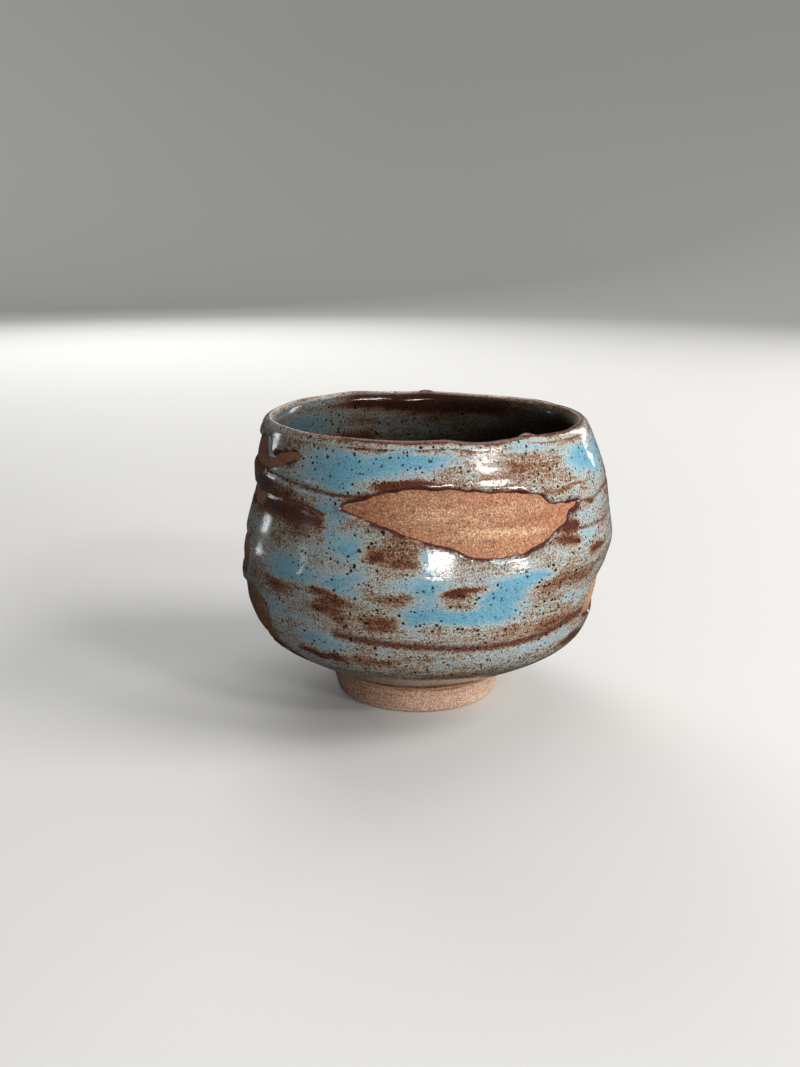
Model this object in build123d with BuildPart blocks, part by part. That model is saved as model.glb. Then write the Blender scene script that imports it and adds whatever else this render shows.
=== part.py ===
from build123d import *

import os
from math import cos, radians, sin

# A thrown stoneware tea bowl on a turned foot ring. The clay wall carries a glaze coat outside and
# another inside, which meet in a thin glaze cap over the lip. The outside coat leaves lens-shaped
# patches of clay bare and ends in a thick roll above the foot.
# Millimetres, +Z up, origin at the centre of the foot's resting face, front of the bowl towards -Y.

# Glaze
coat = 0.8                # thickness of every fired glaze coat
roll_width = 2.2          # thick glaze roll above the foot, measured along the wall
roll_height = 1.5         # how far that roll stands off the clay

# Foot ring
foot_height = 7.0
foot_rest_radius = 23.1   # outer radius of the face it rests on
foot_top_radius = 25.0    # outer radius where it joins the bowl
foot_width = 4.6          # width of the ring's resting face before its edges are rounded
foot_edge = 0.5           # rounding of the ring's two resting edges

# Wall, as radius and height on the clay's own surface
glaze_line = (25.9, 8.5)  # lowest line that the glaze reaches
under_angle = 31.0        # slope of the straight turned underside
under_length = 19.6       # length of that slope
belly_points = [
    (45.4, 20.6),
    (47.8, 25.2),
    (49.6, 32.0),
    (50.5, 40.0),
    (51.2, 45.5),         # widest line of the bowl
    (50.2, 51.5),
    (48.9, 57.0),
    (48.1, 63.0),
    (46.9, 70.0),
    (45.5, 74.8),
]
inside_points = [
    (43.4, 69.0),
    (45.0, 60.0),
    (46.2, 48.0),
    (45.4, 36.0),
    (42.0, 26.5),
    (35.0, 19.5),
    (22.0, 14.8),
]
floor_height = 13.6       # clay floor at the centre of the bowl

# Lip
height = 80.0             # top of the glazed lip
lip_radius = 42.9         # middle of the lip
lip_half = 1.55           # half the clay's thickness at the lip
lip_lean = 15.0           # the wall's lean towards the axis at the lip
bead_azimuths = [35.0, 178.0]
bead_radius = 1.5
bead_height = 0.9         # how far each bead of glaze stands above the lip

# Bare patches: the azimuth that each is drawn from, with 0 at the front and 90 at +X, and its outline
# as distance round the wall and height
bare_patches = [
    (8.0, [(-28, 63.7), (-15, 69.7), (3, 69.8), (16, 68), (32, 62.3),
           (29, 58), (18, 53.5), (6, 52.3), (-9, 56.5), (-24, 61.2)]),
    (-72.0, [(21, 73.9), (8, 76.4), (-8, 76.6), (-22, 74), (-20, 69.4), (-8, 67.8), (8, 68.4)]),
    (-95.0, [(30, 26), (18, 43), (2, 48), (-18, 44), (-30, 33), (-20, 24), (2, 19.6), (20, 19.4)]),
    (88.0, [(-23, 33), (-8, 40.5), (10, 40), (24, 34), (10, 28.5), (-10, 27.6)]),
    (176.0, [(-26, 58), (-8, 65), (12, 64), (28, 57), (12, 52), (-10, 52.6)]),
]
run_azimuth = -72.0       # the glaze run that crosses the second patch
run_across = 9.6          # its distance round the wall from that azimuth
run_width = 2.8
run_top = 78.5
run_tip = 71.8
reach = 70.0              # beyond the widest wall, for tools that cut out from the axis


def wall_plane(azimuth):
    """Upright plane through the axis that faces the given azimuth."""
    turn = radians(azimuth)
    return Plane(origin=(0, 0, 0), x_dir=(cos(turn), sin(turn), 0), z_dir=(sin(turn), -cos(turn), 0))


def points_over(edge, depth, count):
    """Points at a depth of glaze off the left of a profile edge, evenly spaced along it."""
    points = []
    for step in range(count + 1):
        place = edge.position_at(step / count)
        along = edge.tangent_at(step / count)
        points.append((place.X - along.Y * depth, place.Y + along.X * depth))
    return points


def patch_sketch(azimuth, outline):
    """Closed smooth outline of a bare patch, on the upright plane that faces it."""
    with BuildSketch(wall_plane(azimuth)) as patch:
        with BuildLine():
            Spline(*outline, periodic=True)
        make_face()
    return patch.sketch


# Shared profile lines, drawn as radius and height. Each coat is closed by the same clay line that
# closes the clay, so the pieces meet face to face.
slope = (cos(radians(under_angle)), sin(radians(under_angle)))
lip_across = (cos(radians(lip_lean)), sin(radians(lip_lean)))
lip_along = (-lip_across[1], lip_across[0])
lip_height = height - lip_half - coat
roll_end = (glaze_line[0] + slope[0] * roll_width, glaze_line[1] + slope[1] * roll_width)
under_end = (glaze_line[0] + slope[0] * under_length, glaze_line[1] + slope[1] * under_length)


def lip_point(radius, across, along):
    """Point of a lip arc, from its middle, square to the wall and along it."""
    return (
        lip_radius + radius * (across * lip_across[0] + along * lip_along[0]),
        lip_height + radius * (across * lip_across[1] + along * lip_along[1]),
    )


clay_lip = ThreePointArc(lip_point(lip_half, -1, 0), lip_point(lip_half, 0, 1), lip_point(lip_half, 1, 0))
glaze_radius = lip_half + coat
glaze_lip = ThreePointArc(
    lip_point(glaze_radius, -1, 0), lip_point(glaze_radius, 0, 1), lip_point(glaze_radius, 1, 0)
)

# Both walls run from the lip downwards, so that their outer side lies to the left on the outside
# wall's reverse and on the inside wall's own direction.
clay_wall = Spline(
    lip_point(lip_half, 1, 0),
    *reversed(belly_points),
    under_end,
    tangents=[(-lip_along[0], -lip_along[1]), (-slope[0], -slope[1])],
)
clay_under = Line(under_end, roll_end)
clay_inside = Spline(
    lip_point(lip_half, -1, 0),
    *inside_points,
    (0, floor_height),
    tangents=[(-lip_along[0], -lip_along[1]), (-1, 0)],
)
glaze_wall = Spline(
    *points_over(clay_wall, coat, 24),
    tangents=[(-lip_along[0], -lip_along[1]), (-slope[0], -slope[1])],
)
glaze_under = Line(*points_over(clay_under, coat, 1))
glaze_inside = Spline(
    *points_over(clay_inside, -coat, 18),
    tangents=[(-lip_along[0], -lip_along[1]), (-1, 0)],
)
coat_end = glaze_under @ 1
patches = [patch_sketch(azimuth, outline) for azimuth, outline in bare_patches]

with BuildSketch(Plane.XZ) as outside_coat:
    with BuildLine():
        add(clay_wall)
        add(clay_under)
        Line(roll_end, coat_end)
        add(glaze_under)
        add(glaze_wall)
        Line(glaze_wall @ 0, clay_wall @ 0)
    make_face()

# Thrown clay: wall, floor and lip
with BuildPart() as clay_bowl:
    with BuildSketch(Plane.XZ):
        with BuildLine():
            add(clay_lip)
            add(clay_wall)
            add(clay_under)
            Line(roll_end, glaze_line)
            Line(glaze_line, (foot_top_radius, foot_height))
            Line((foot_top_radius, foot_height), (0, foot_height))
            Line((0, foot_height), (0, floor_height))
            add(clay_inside)
        make_face()
    revolve(axis=Axis.Z)

# Foot ring, left bare and rounded where it rests
foot_inner = foot_rest_radius - foot_width
with BuildPart() as foot_ring:
    with BuildSketch(Plane.XZ):
        with BuildLine():
            Polyline(
                (foot_rest_radius, 0),
                (foot_top_radius, foot_height),
                (foot_inner - foot_edge, foot_height),
                (foot_inner, 0),
                close=True,
            )
        make_face()
    revolve(axis=Axis.Z)
    resting_edges = foot_ring.edges().group_by(Axis.Z)[0].filter_by(GeomType.CIRCLE)
    fillet(resting_edges, foot_edge)

# Outside coat, with the bare patches cut through it
with BuildPart() as outside_glaze:
    revolve(outside_coat.sketch, axis=Axis.Z)
    for patch in patches:
        extrude(patch, amount=reach, mode=Mode.SUBTRACT)

# Thick roll where the outside coat stopped above the foot
roll_middle = (clay_under @ 1 + Vector(*glaze_line)) * 0.5
roll_crest = (roll_middle.X + slope[1] * roll_height, roll_middle.Y - slope[0] * roll_height)
with BuildPart() as foot_line_roll:
    with BuildSketch(Plane.XZ):
        with BuildLine():
            Line(glaze_line, roll_end)
            Line(roll_end, coat_end)
            ThreePointArc(coat_end, roll_crest, glaze_line)
        make_face()
    revolve(axis=Axis.Z)

# Run of glaze that crosses the bare patch under the lip
with BuildSketch(wall_plane(run_azimuth)) as run_outline:
    with BuildLine():
        run_left = run_across - run_width / 2
        run_right = run_across + run_width / 2
        round_height = run_tip + run_width / 2
        Polyline((run_left, round_height), (run_left, run_top), (run_right, run_top), (run_right, round_height))
        ThreePointArc((run_right, round_height), (run_across, run_tip), (run_left, round_height))
    make_face()

with BuildPart() as glaze_run:
    revolve(outside_coat.sketch, axis=Axis.Z)
    extrude(patches[1], amount=reach, mode=Mode.INTERSECT)
    extrude(run_outline.sketch, amount=reach, mode=Mode.INTERSECT)

# Glaze cap over the lip
with BuildPart() as lip_glaze:
    with BuildSketch(Plane.XZ):
        with BuildLine():
            add(clay_lip)
            Line(clay_lip @ 1, glaze_lip @ 1)
            add(glaze_lip)
            Line(glaze_lip @ 0, clay_lip @ 0)
        make_face()
    revolve(axis=Axis.Z)

# Beads where glaze gathered and stands above the lip
with BuildPart() as lip_beads:
    for azimuth in bead_azimuths:
        turn = radians(azimuth)
        across = lip_radius + glaze_radius * lip_along[0]
        bead_centre = (across * sin(turn), -across * cos(turn), height + bead_height - bead_radius)
        with Locations(bead_centre):
            Sphere(bead_radius)
    add(lip_glaze.part, mode=Mode.SUBTRACT)
    add(clay_bowl.part, mode=Mode.SUBTRACT)

# Inside coat, from the lip to the floor
with BuildPart() as inside_glaze:
    with BuildSketch(Plane.XZ):
        with BuildLine():
            add(clay_inside)
            Line(clay_inside @ 1, glaze_inside @ 1)
            add(glaze_inside)
            Line(glaze_inside @ 0, clay_inside @ 0)
        make_face()
    revolve(axis=Axis.Z)

pieces = {
    "clay_bowl": clay_bowl,
    "foot_ring": foot_ring,
    "outside_glaze": outside_glaze,
    "foot_line_roll": foot_line_roll,
    "glaze_run": glaze_run,
    "lip_glaze": lip_glaze,
    "lip_beads": lip_beads,
    "inside_glaze": inside_glaze,
}
os.makedirs("parts", exist_ok=True)
for name, piece in pieces.items():
    piece.part.label = name
    export_step(piece.part, f"parts/{name}.step")
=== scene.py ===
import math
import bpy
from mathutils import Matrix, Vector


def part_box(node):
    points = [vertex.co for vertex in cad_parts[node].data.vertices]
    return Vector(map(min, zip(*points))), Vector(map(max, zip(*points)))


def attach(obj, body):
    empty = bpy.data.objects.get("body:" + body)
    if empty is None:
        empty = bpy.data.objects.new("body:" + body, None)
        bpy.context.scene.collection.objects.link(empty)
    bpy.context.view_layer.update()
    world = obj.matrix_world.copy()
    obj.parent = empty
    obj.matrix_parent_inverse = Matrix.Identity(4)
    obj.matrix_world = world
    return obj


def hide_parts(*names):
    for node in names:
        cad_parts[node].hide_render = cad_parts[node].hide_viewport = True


bl_info = {
    "name": "Glazed tea bowl",
    "version": (1, 0, 0),
    "blender": (4, 5, 0),
    "location": "3D View > Sidebar > Tea Bowl",
    "description": "Builds a thrown and glazed tea bowl round its packed frame",
    "category": "Add Mesh",
}

import bmesh
import bpy
import numpy as np
from mathutils import Matrix, Vector
from mathutils.geometry import delaunay_2d_cdt

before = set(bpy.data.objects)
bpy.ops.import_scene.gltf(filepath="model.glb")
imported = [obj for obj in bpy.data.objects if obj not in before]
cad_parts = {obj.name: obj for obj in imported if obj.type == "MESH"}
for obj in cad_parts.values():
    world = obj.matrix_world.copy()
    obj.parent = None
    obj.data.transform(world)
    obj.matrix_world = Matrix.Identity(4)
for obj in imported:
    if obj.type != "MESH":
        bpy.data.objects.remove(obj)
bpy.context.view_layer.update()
MM = 0.001

# Frame measures, in millimetres
CLAY_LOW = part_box("clay_bowl")[0] / MM
FOOT_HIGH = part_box("foot_ring")[1] / MM

# Glazed wall, from the glaze line to the lip: height, mean radius, and how far the section's centre
# leans towards +X. Millimetres, like every size below that has no other unit.
WALL = [
    (8.6, 25.4, 0.0), (12.0, 32.2, 0.7), (16.0, 39.3, 1.1), (20.0, 45.3, 1.2), (24.5, 48.4, 0.9),
    (30.0, 50.1, 0.8), (35.0, 50.8, 1.0), (40.0, 51.4, 1.3), (44.5, 52.0, 2.1), (48.5, 51.7, 3.0),
    (53.5, 50.6, 3.3), (58.0, 49.6, 3.6), (62.0, 49.1, 3.5), (66.0, 48.6, 3.2), (70.0, 47.7, 2.6),
    (74.0, 46.4, 2.3), (78.2, 45.0, 1.9),
]
# Inside wall of the glazed bowl, from the lip to the middle of the floor: radius and height
INSIDE = [
    (40.7, 77.0), (42.6, 69.0), (44.1, 60.0), (45.2, 48.0), (44.5, 36.5), (41.2, 27.4),
    (34.4, 20.4), (21.8, 15.7), (8.0, 14.5), (0.0, 14.4),
]
# The lip's uneven height: azimuth and spread in degrees, and rise
LIP_RISES = [
    (6, 6, 0.30), (17, 8, -0.55), (35, 4, 0.45), (60, 12, -0.2), (-150, 9, 0.4), (178, 5, 0.25),
    (126, 8, 0.35), (-60, 14, 0.25), (-100, 16, -0.2), (180, 60, -0.45),
]
# How rusty the lip is: azimuth and spread in degrees, and amount
LIP_RUST = [
    (-18, 24, 0.75), (22, 30, 0.85), (66, 24, 0.50), (118, 26, 0.55), (172, 24, 0.9), (-152, 9, 0.6),
    (-124, 6, 0.55), (-108, 4, 0.3),
]

# Bare patches, as closed outlines of azimuth in degrees and height
PATCHES = {
    "front": [
        (-28.2, 63.6), (-22, 65.6), (-14, 67.8), (-6, 68.9), (5, 68.8), (16, 68.3), (26, 67.4),
        (33, 65.9), (37.5, 63.6), (43, 63.0), (49.4, 62.6), (48.6, 61.5), (45, 60.6), (43, 58.4),
        (38, 56.2), (32, 54.2), (26, 52.8), (18, 52.4), (11, 53.0), (5, 55.2), (-3, 56.7), (-12, 59.2),
        (-20, 61.2),
    ],
    "under_lip": [
        (-44.5, 74.0), (-48.5, 75.2), (-54, 74.4), (-58.5, 73.0), (-61.5, 72.6), (-64, 75.8),
        (-72, 76.3), (-82, 75.6), (-94, 76.2), (-106, 73.6), (-103, 70.4), (-90, 68.6), (-76, 68.2),
        (-62, 69.4), (-54, 71.4), (-48, 73.0),
    ],
    "left_sliver": [
        (-63, 62.2), (-66, 59.0), (-74, 57.6), (-86, 58.2), (-92, 60.0), (-80, 61.6), (-70, 61.8),
    ],
    "left_belly": [
        (-66.8, 44.5), (-68, 41.0), (-74, 38.8), (-90, 38.4), (-108, 41.0), (-116, 45.6), (-104, 48.8),
        (-84, 48.6), (-72, 47.6),
    ],
    "left_low": [
        (-53, 27.5), (-54.6, 32.6), (-60, 35.6), (-68, 36.4), (-82, 34.2), (-100, 31.0), (-118, 27.0),
        (-122, 23.0), (-108, 20.6), (-86, 19.9), (-66, 20.2), (-50, 19.2), (-44, 19.6), (-50, 22.4),
    ],
    "right_low": [
        (59.5, 30.6), (62, 35.4), (66, 38.8), (78, 40.6), (92, 39.4), (108, 35.6), (114, 32.0),
        (100, 29.4), (84, 28.0), (68, 28.4),
    ],
    "back": [
        (144, 59.6), (152, 63.8), (164, 66.2), (178, 66.9), (192, 65.4), (204, 61.6), (211, 58.0),
        (202, 55.2), (188, 54.0), (172, 52.4), (158, 53.4), (149, 56.2),
    ],
}
# Grooves and strokes in the wall: points of azimuth and height, half width, depth, and how dark they are
GROOVES = [
    ([(-210, 70.6), (-150, 69.4), (-100, 68.6), (-78, 68.1), (-55, 68.0), (-45, 67.5), (-35, 66.7),
      (-26, 66.4), (-18, 67.1), (-12, 68.2)], 0.45, 0.42, 0.9),
    ([(-120, 63.4), (-90, 62.6), (-66, 62.7), (-50, 62.7), (-41, 62.3), (-34, 61.2)], 0.45, 0.30, 0.85),
    ([(44, 63.4), (50, 62.8), (57, 62.0), (66, 62.5), (84, 63.8), (110, 66.0), (140, 69.0)], 0.4, 0.30, 0.8),
    ([(45, 55.8), (57, 55.2), (72, 55.0), (96, 56.4), (130, 57.0)], 0.4, 0.34, 0.8),
    ([(-26, 31.2), (-10, 30.2), (5, 29.3), (20, 28.6), (35, 29.1), (46, 30.3), (60, 31.9)], 0.85, 0.20, 0.95),
    ([(-41, 24.5), (-33, 24.3), (-24, 23.1)], 0.38, 0.15, 1.0),
    ([(-24, 49.2), (-5, 48.7), (12, 48.3), (30, 48.8), (52, 50.0)], 0.35, 0.0, 0.55),
    ([(44, 66.7), (58, 66.9)], 0.35, 0.0, 0.55),
    ([(60, 25.6), (80, 26.6), (110, 27.2), (150, 25.8)], 0.5, 0.2, 0.7),
    ([(30, 46.5), (45, 46.0), (62, 47.2)], 0.32, 0.10, 0.50),
    ([(33, 41.8), (46, 41.1), (62, 42.7)], 0.32, 0.10, 0.55),
    ([(23, 36.1), (40, 35.2), (58, 36.5)], 0.32, 0.12, 0.60),
    ([(28, 33.6), (44, 32.9), (60, 33.9)], 0.32, 0.10, 0.55),
    ([(8, 71.3), (28, 70.9), (52, 70.3)], 0.30, 0.08, 0.45),
    ([(15, 68.9), (34, 67.8), (58, 67.0)], 0.30, 0.08, 0.55),
    ([(16, 74.3), (36, 73.7), (52, 73.9)], 0.30, 0.06, 0.40),
    ([(-70, 16.6), (-30, 16.2), (10, 15.9), (50, 16.8)], 0.35, 0.16, 0.45),
    ([(-60, 13.6), (-10, 13.2), (40, 13.8)], 0.4, 0.18, 0.5),
    ([(150, 45.6), (180, 44.4), (215, 46.0), (250, 45.0)], 0.5, 0.24, 0.7),
    ([(118, 35.4), (150, 33.8), (190, 33.0), (226, 34.6)], 0.5, 0.2, 0.75),
]
# Where the glaze lies thick (blue) or thin (brown): azimuth, height, half width in degrees, half height,
# and how much. The marks past 80 degrees are the sides and the back.
POOLS = [
    (-31, 74.0, 8, 4.5, 0.34), (-12, 74.6, 13, 2.8, 0.52), (-26, 70.6, 6, 2.8, 0.36),
    (-31, 61.0, 3.2, 6.0, 0.42), (-25, 54.0, 4.5, 3.2, 0.42), (3, 75.8, 9, 1.8, 0.30),
    (-39, 71.0, 5, 5.0, 0.20), (57, 73.0, 8, 4.0, 0.52), (67, 70.0, 6, 4.6, 0.42),
    (34, 77.4, 9, 1.3, 0.34), (-43, 46.6, 13, 2.9, 0.44), (-23, 45.0, 5, 3.4, 0.40),
    (-3, 51.5, 2.6, 2.8, 0.40), (-1, 46.2, 9, 1.6, 0.42), (23, 42.0, 8, 4.8, 0.66),
    (9, 37.6, 13, 2.0, 0.60), (33, 46.8, 6, 1.4, 0.38), (-2, 40.5, 4.5, 4.6, 0.38),
    (-31, 29.4, 9, 3.0, 0.28), (-50, 34.0, 5, 5.0, 0.14), (53, 53.6, 6, 1.8, 0.22),
    (42, 26.8, 16, 1.2, 0.20), (49, 38.2, 11, 1.0, 0.22), (60, 58.6, 8, 2.4, 0.14),
    (-49, 60.0, 17, 3.6, -0.50), (-72, 64.4, 12, 4.0, -0.45), (-17, 53.0, 4, 1.6, -0.32),
    (-8, 50.9, 5.5, 1.5, -0.30), (-11, 54.6, 8, 1.8, -0.14), (-8, 57.4, 6, 1.0, -0.16),
    (-30.5, 42.6, 4.2, 1.2, -0.40), (-27, 39.6, 4.4, 2.4, -0.32), (-23.5, 36.6, 3, 1.4, -0.26),
    (-47, 41.4, 6, 2.4, -0.34), (-10.5, 35.9, 8, 1.8, -0.34), (10, 44.4, 7, 0.8, -0.55),
    (8, 41.6, 9, 1.1, -0.18), (-11, 43.8, 8, 2.6, -0.16), (46, 43.6, 14, 2.8, -0.22),
    (44, 33.4, 16, 2.2, -0.20), (48, 31.4, 12, 1.0, -0.20), (-15, 24.8, 7, 1.0, -0.24),
    (-28, 25.0, 4, 1.0, -0.22), (47, 56.6, 3.6, 1.3, -0.85), (45, 53.5, 5.6, 1.4, -0.54),
    (60.5, 49.6, 5, 1.2, -0.52), (-6, 69.2, 10, 1.5, -1.5), (-33, 24.1, 8, 0.6, -0.9),
    (-58, 65.2, 17, 1.5, -0.34), (27, 71.6, 22, 3.4, -0.10), (30, 72.6, 14, 1.0, -0.16),
    (46, 67.2, 11, 0.6, -0.30), (56, 62.0, 5, 0.6, -0.50), (0, 19.4, 40, 1.6, -0.10),
    (57, 24.4, 8, 1.6, -0.50),
    (82, 73.0, 9, 4.0, 0.36), (104, 71.0, 12, 4.6, 0.42), (128, 75.0, 14, 2.2, 0.30),
    (92, 50.0, 14, 3.2, 0.40), (124, 44.0, 13, 4.0, 0.46), (158, 40.0, 14, 3.4, 0.44),
    (176, 74.6, 16, 2.8, 0.44), (204, 70.4, 12, 3.0, 0.36), (232, 73.6, 14, 3.2, 0.40),
    (222, 50.0, 13, 4.0, 0.44), (196, 46.8, 12, 2.4, 0.34), (248, 58.0, 9, 4.4, 0.36),
    (262, 52.6, 12, 2.4, 0.24), (232, 37.0, 12, 2.8, 0.30), (140, 24.0, 20, 1.8, 0.24),
    (210, 24.4, 16, 2.0, 0.26), (84, 62.6, 12, 2.2, -0.34), (112, 59.6, 14, 2.2, -0.40),
    (104, 47.6, 9, 1.6, -0.30), (134, 51.6, 13, 1.8, -0.34), (90, 44.4, 10, 1.2, -0.24),
    (142, 36.6, 10, 1.6, -0.34), (176, 36.8, 12, 1.6, -0.32), (162, 48.8, 12, 1.6, -0.30),
    (204, 41.4, 10, 1.6, -0.34), (222, 63.6, 12, 2.4, -0.42), (240, 43.8, 10, 2.0, -0.38),
    (252, 66.4, 12, 1.4, -0.34), (180, 70.4, 18, 1.3, -0.34), (150, 29.4, 16, 1.4, -0.30),
    (212, 29.6, 14, 1.4, -0.32), (120, 67.6, 12, 1.0, -0.30),
]
INSIDE_POOLS = [
    (-118, 73.0, 24, 4.0, 0.34), (-95, 70.0, 22, 5.0, 0.36), (-140, 66.0, 22, 2.4, -0.22),
    (-128, 60.0, 30, 3.0, -0.20), (168, 77.0, 26, 3.2, -0.80), (-160, 77.6, 14, 2.4, -0.55),
    (-170, 69.0, 26, 1.6, 0.12), (150, 64.0, 30, 4.0, -0.12), (100, 73.0, 24, 4.0, -0.10),
    (60, 60.0, 40, 6.0, -0.10), (0, 70.0, 30, 5.0, 0.20), (-40, 56.0, 30, 5.0, -0.20),
    (0, 14.5, 180, 3.0, 0.20), (20, 40.0, 40, 5.0, 0.25), (-120, 38.0, 40, 5.0, -0.15),
]
# How pale the bare clay is, as above. The last four marks darken the clay on the left side and pale it on the
# right, partly its own tone and partly painted shade and light
CLAY_TONES_AND_SIDE_SHADE = [
    (20, 58.2, 12, 1.3, 0.42), (2, 62.5, 18, 3.0, 0.10), (30, 64.5, 10, 2.0, 0.14),
    (-20, 62.5, 9, 4.0, -0.26), (-2, 67.4, 14, 1.2, 0.10), (30, 60.6, 14, 0.9, -0.20),
    (-78, 72.0, 38, 7.0, -0.42), (-85, 45.0, 34, 14.0, -0.40), (-78, 27.0, 44, 12.0, -0.36),
    (82, 35.0, 34, 9.0, 0.22),
]
INSIDE_PAINTED_SHADE = (0.26, 0.26, 0.255, 1)    # painted shade: darkens the glaze inside the bowl and on the lip's inside, where little light reaches
WHITE = (1, 1, 1, 1)
SEAM_AZIMUTH = 130.0      # where the coat's grid starts, clear of every bare patch
FAR = 9.0                 # stands for a distance too great to matter
BURIED = -6.0             # stands for a place well inside bare clay
CLAY_COLUMNS = 420        # mesh steps round the clay pieces
GLAZE_COLUMNS = 480       # mesh steps round the roll and the inside coat
LIP_STEPS = 29            # mesh steps over the lip
EVEN_COAT = 0.43          # how thick the outside glaze lies away from every mark, from 0 bare to 1 pooled
LIP_CREST = 0.25          # how far out the lip's crest stands, as a share of its half thickness


def swatch(name, description, default):
    """Colour property with the given default."""
    return bpy.props.FloatVectorProperty(
        name=name, description=description, default=default, size=3, subtype="COLOR", min=0, max=1
    )


class BowlSizes(bpy.types.PropertyGroup):
    """Sizes that the pieces share."""

    coat: bpy.props.FloatProperty(
        name="Glaze thickness", description="Thickness of the fired glaze", default=0.8 * MM, unit="LENGTH"
    )
    lip_half: bpy.props.FloatProperty(
        name="Lip half thickness", description="Half of the clay's thickness at the lip", default=1.55 * MM,
        unit="LENGTH",
    )
    edge_bead: bpy.props.FloatProperty(
        name="Edge rounding",
        description="Width over which the glaze rounds down to a bare patch",
        default=1.0 * MM, unit="LENGTH",
    )
    around: bpy.props.IntProperty(name="Steps around", description="Mesh steps round the coat", default=600)
    rows: bpy.props.IntProperty(name="Rows", description="Mesh rows up the coat", default=140)


class GlazeColours(bpy.types.PropertyGroup):
    """Colours of the fired glaze, from where it is thinnest to where it is thickest."""

    iron: swatch("Iron specks", "Specks of iron burnt through the glaze", (0.010, 0.006, 0.005))
    maroon: swatch("Bare edge", "Glaze so thin that it fires maroon", (0.055, 0.013, 0.011))
    umber: swatch("Thinnest glaze", "Thinnest glaze away from an edge", (0.080, 0.025, 0.017))
    rust: swatch("Thin glaze", "Thin glaze over ridges", (0.150, 0.062, 0.032))
    tan: swatch("Breaking glaze", "Glaze that breaks from brown to grey", (0.26, 0.185, 0.125))
    grey: swatch("Even coat", "The coat at its even thickness", (0.33, 0.345, 0.325))
    # The crest's pale line is partly pale glaze and partly a painted highlight
    crest_cream_and_highlight: swatch("Lip crest", "Glaze that breaks pale on the lip's sharp crest, with a painted highlight", (0.90, 0.79, 0.70))
    pale_blue: swatch("Thicker coat", "The coat where it starts to pool", (0.25, 0.35, 0.385))
    blue: swatch("Pooled glaze", "Glaze pooled thick", (0.13, 0.30, 0.395))


class ClayColours(bpy.types.PropertyGroup):
    """Colours of the bare fired clay."""

    body: swatch("Clay", "Bare clay of the wall", (0.32, 0.155, 0.088))
    # Reddened clay is also the painted shade on the left side of the bare clay
    toasted_and_shaded: swatch("Toasted clay", "Clay reddened near the glaze", (0.30, 0.115, 0.055))
    sand: swatch("Sandy clay", "Paler wiped clay", (0.53, 0.33, 0.175))
    foot: swatch("Foot clay", "Clay of the foot ring", (0.45, 0.275, 0.185))
    # The darker foot clay is also the painted shade on the foot's left side
    foot_dark_and_shade: swatch("Darker foot clay and painted shade", "Darker clay of the foot ring", (0.30, 0.16, 0.105))
    foot_sand: swatch("Foot sand", "Sand in the clay of the foot ring", (0.66, 0.46, 0.33))


class StudioSettings(bpy.types.PropertyGroup):
    """Camera and light."""

    distance: bpy.props.FloatProperty(
        name="Camera distance",
        description="From the bowl's axis to the camera",
        default=0.3168,
        unit="LENGTH",
    )
    eye_height: bpy.props.FloatProperty(
        name="Camera height", description="Height of the camera", default=0.1327, unit="LENGTH"
    )
    aside: bpy.props.FloatProperty(
        name="Camera aside",
        description="Camera's distance from the centre plane",
        default=-0.0050,
        unit="LENGTH",
    )
    pitch: bpy.props.FloatProperty(
        name="Camera pitch", description="Angle below level", default=math.radians(15.45), subtype="ANGLE"
    )
    roll: bpy.props.FloatProperty(
        name="Camera roll",
        description="Turn about the line of sight",
        default=math.radians(0.17),
        subtype="ANGLE",
    )
    lens: bpy.props.FloatProperty(name="Lens", description="Focal length in millimetres", default=38.8)
    backdrop: swatch("Backdrop", "Plain floor and backdrop", (0.63, 0.625, 0.61))


# ---------------------------------------------------------------- curves and fields


def smooth_curve(x, knots, values):
    """Natural cubic spline through the knots, read at x."""
    knots, values = np.asarray(knots, float), np.asarray(values, float)
    step = np.diff(knots)
    slope = np.diff(values) / step
    count = len(knots)
    left = np.eye(count)
    right = np.zeros(count)
    for i in range(1, count - 1):
        left[i, i - 1], left[i, i], left[i, i + 1] = step[i - 1], 2 * (step[i - 1] + step[i]), step[i]
        right[i] = 6 * (slope[i] - slope[i - 1])
    bend = np.linalg.solve(left, right)
    x = np.asarray(x, float)
    i = np.clip(np.searchsorted(knots, x) - 1, 0, count - 2)
    below, above = x - knots[i], knots[i + 1] - x
    return (
        (bend[i] * above**3 + bend[i + 1] * below**3) / (6 * step[i])
        + (values[i] / step[i] - bend[i] * step[i] / 6) * above
        + (values[i + 1] / step[i] - bend[i + 1] * step[i] / 6) * below
    )


def smoothstep(low, high, x):
    """Eases from 0 at low to 1 at high."""
    t = np.clip((x - low) / (high - low), 0, 1)
    return t * t * (3 - 2 * t)


def soft_noise(points, size, seed):
    """Seeded smooth noise from -1 to 1, with lumps of about the given size."""
    place = np.asarray(points, float) / size + seed * 7.31
    base = np.floor(place).astype(np.int64)
    part = place - base
    part = part * part * (3 - 2 * part)
    total = np.zeros(place.shape[:-1])
    for corner in np.ndindex(2, 2, 2):
        cell = base + np.array(corner)
        code = cell[..., 0] * 73856093 ^ cell[..., 1] * 19349663 ^ cell[..., 2] * 83492791 ^ seed * 40503
        code = (code ^ (code >> 13)) * 1274126177
        value = ((code >> 5) & 0xFFFF) / 32767.5 - 1
        weight = np.prod(np.where(np.array(corner) == 1, part, 1 - part), axis=-1)
        total += value * weight
    return total


def turned(azimuth, middle):
    """Azimuth in degrees as an angle from middle, between -180 and 180."""
    return (azimuth - middle + 180) % 360 - 180


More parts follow.
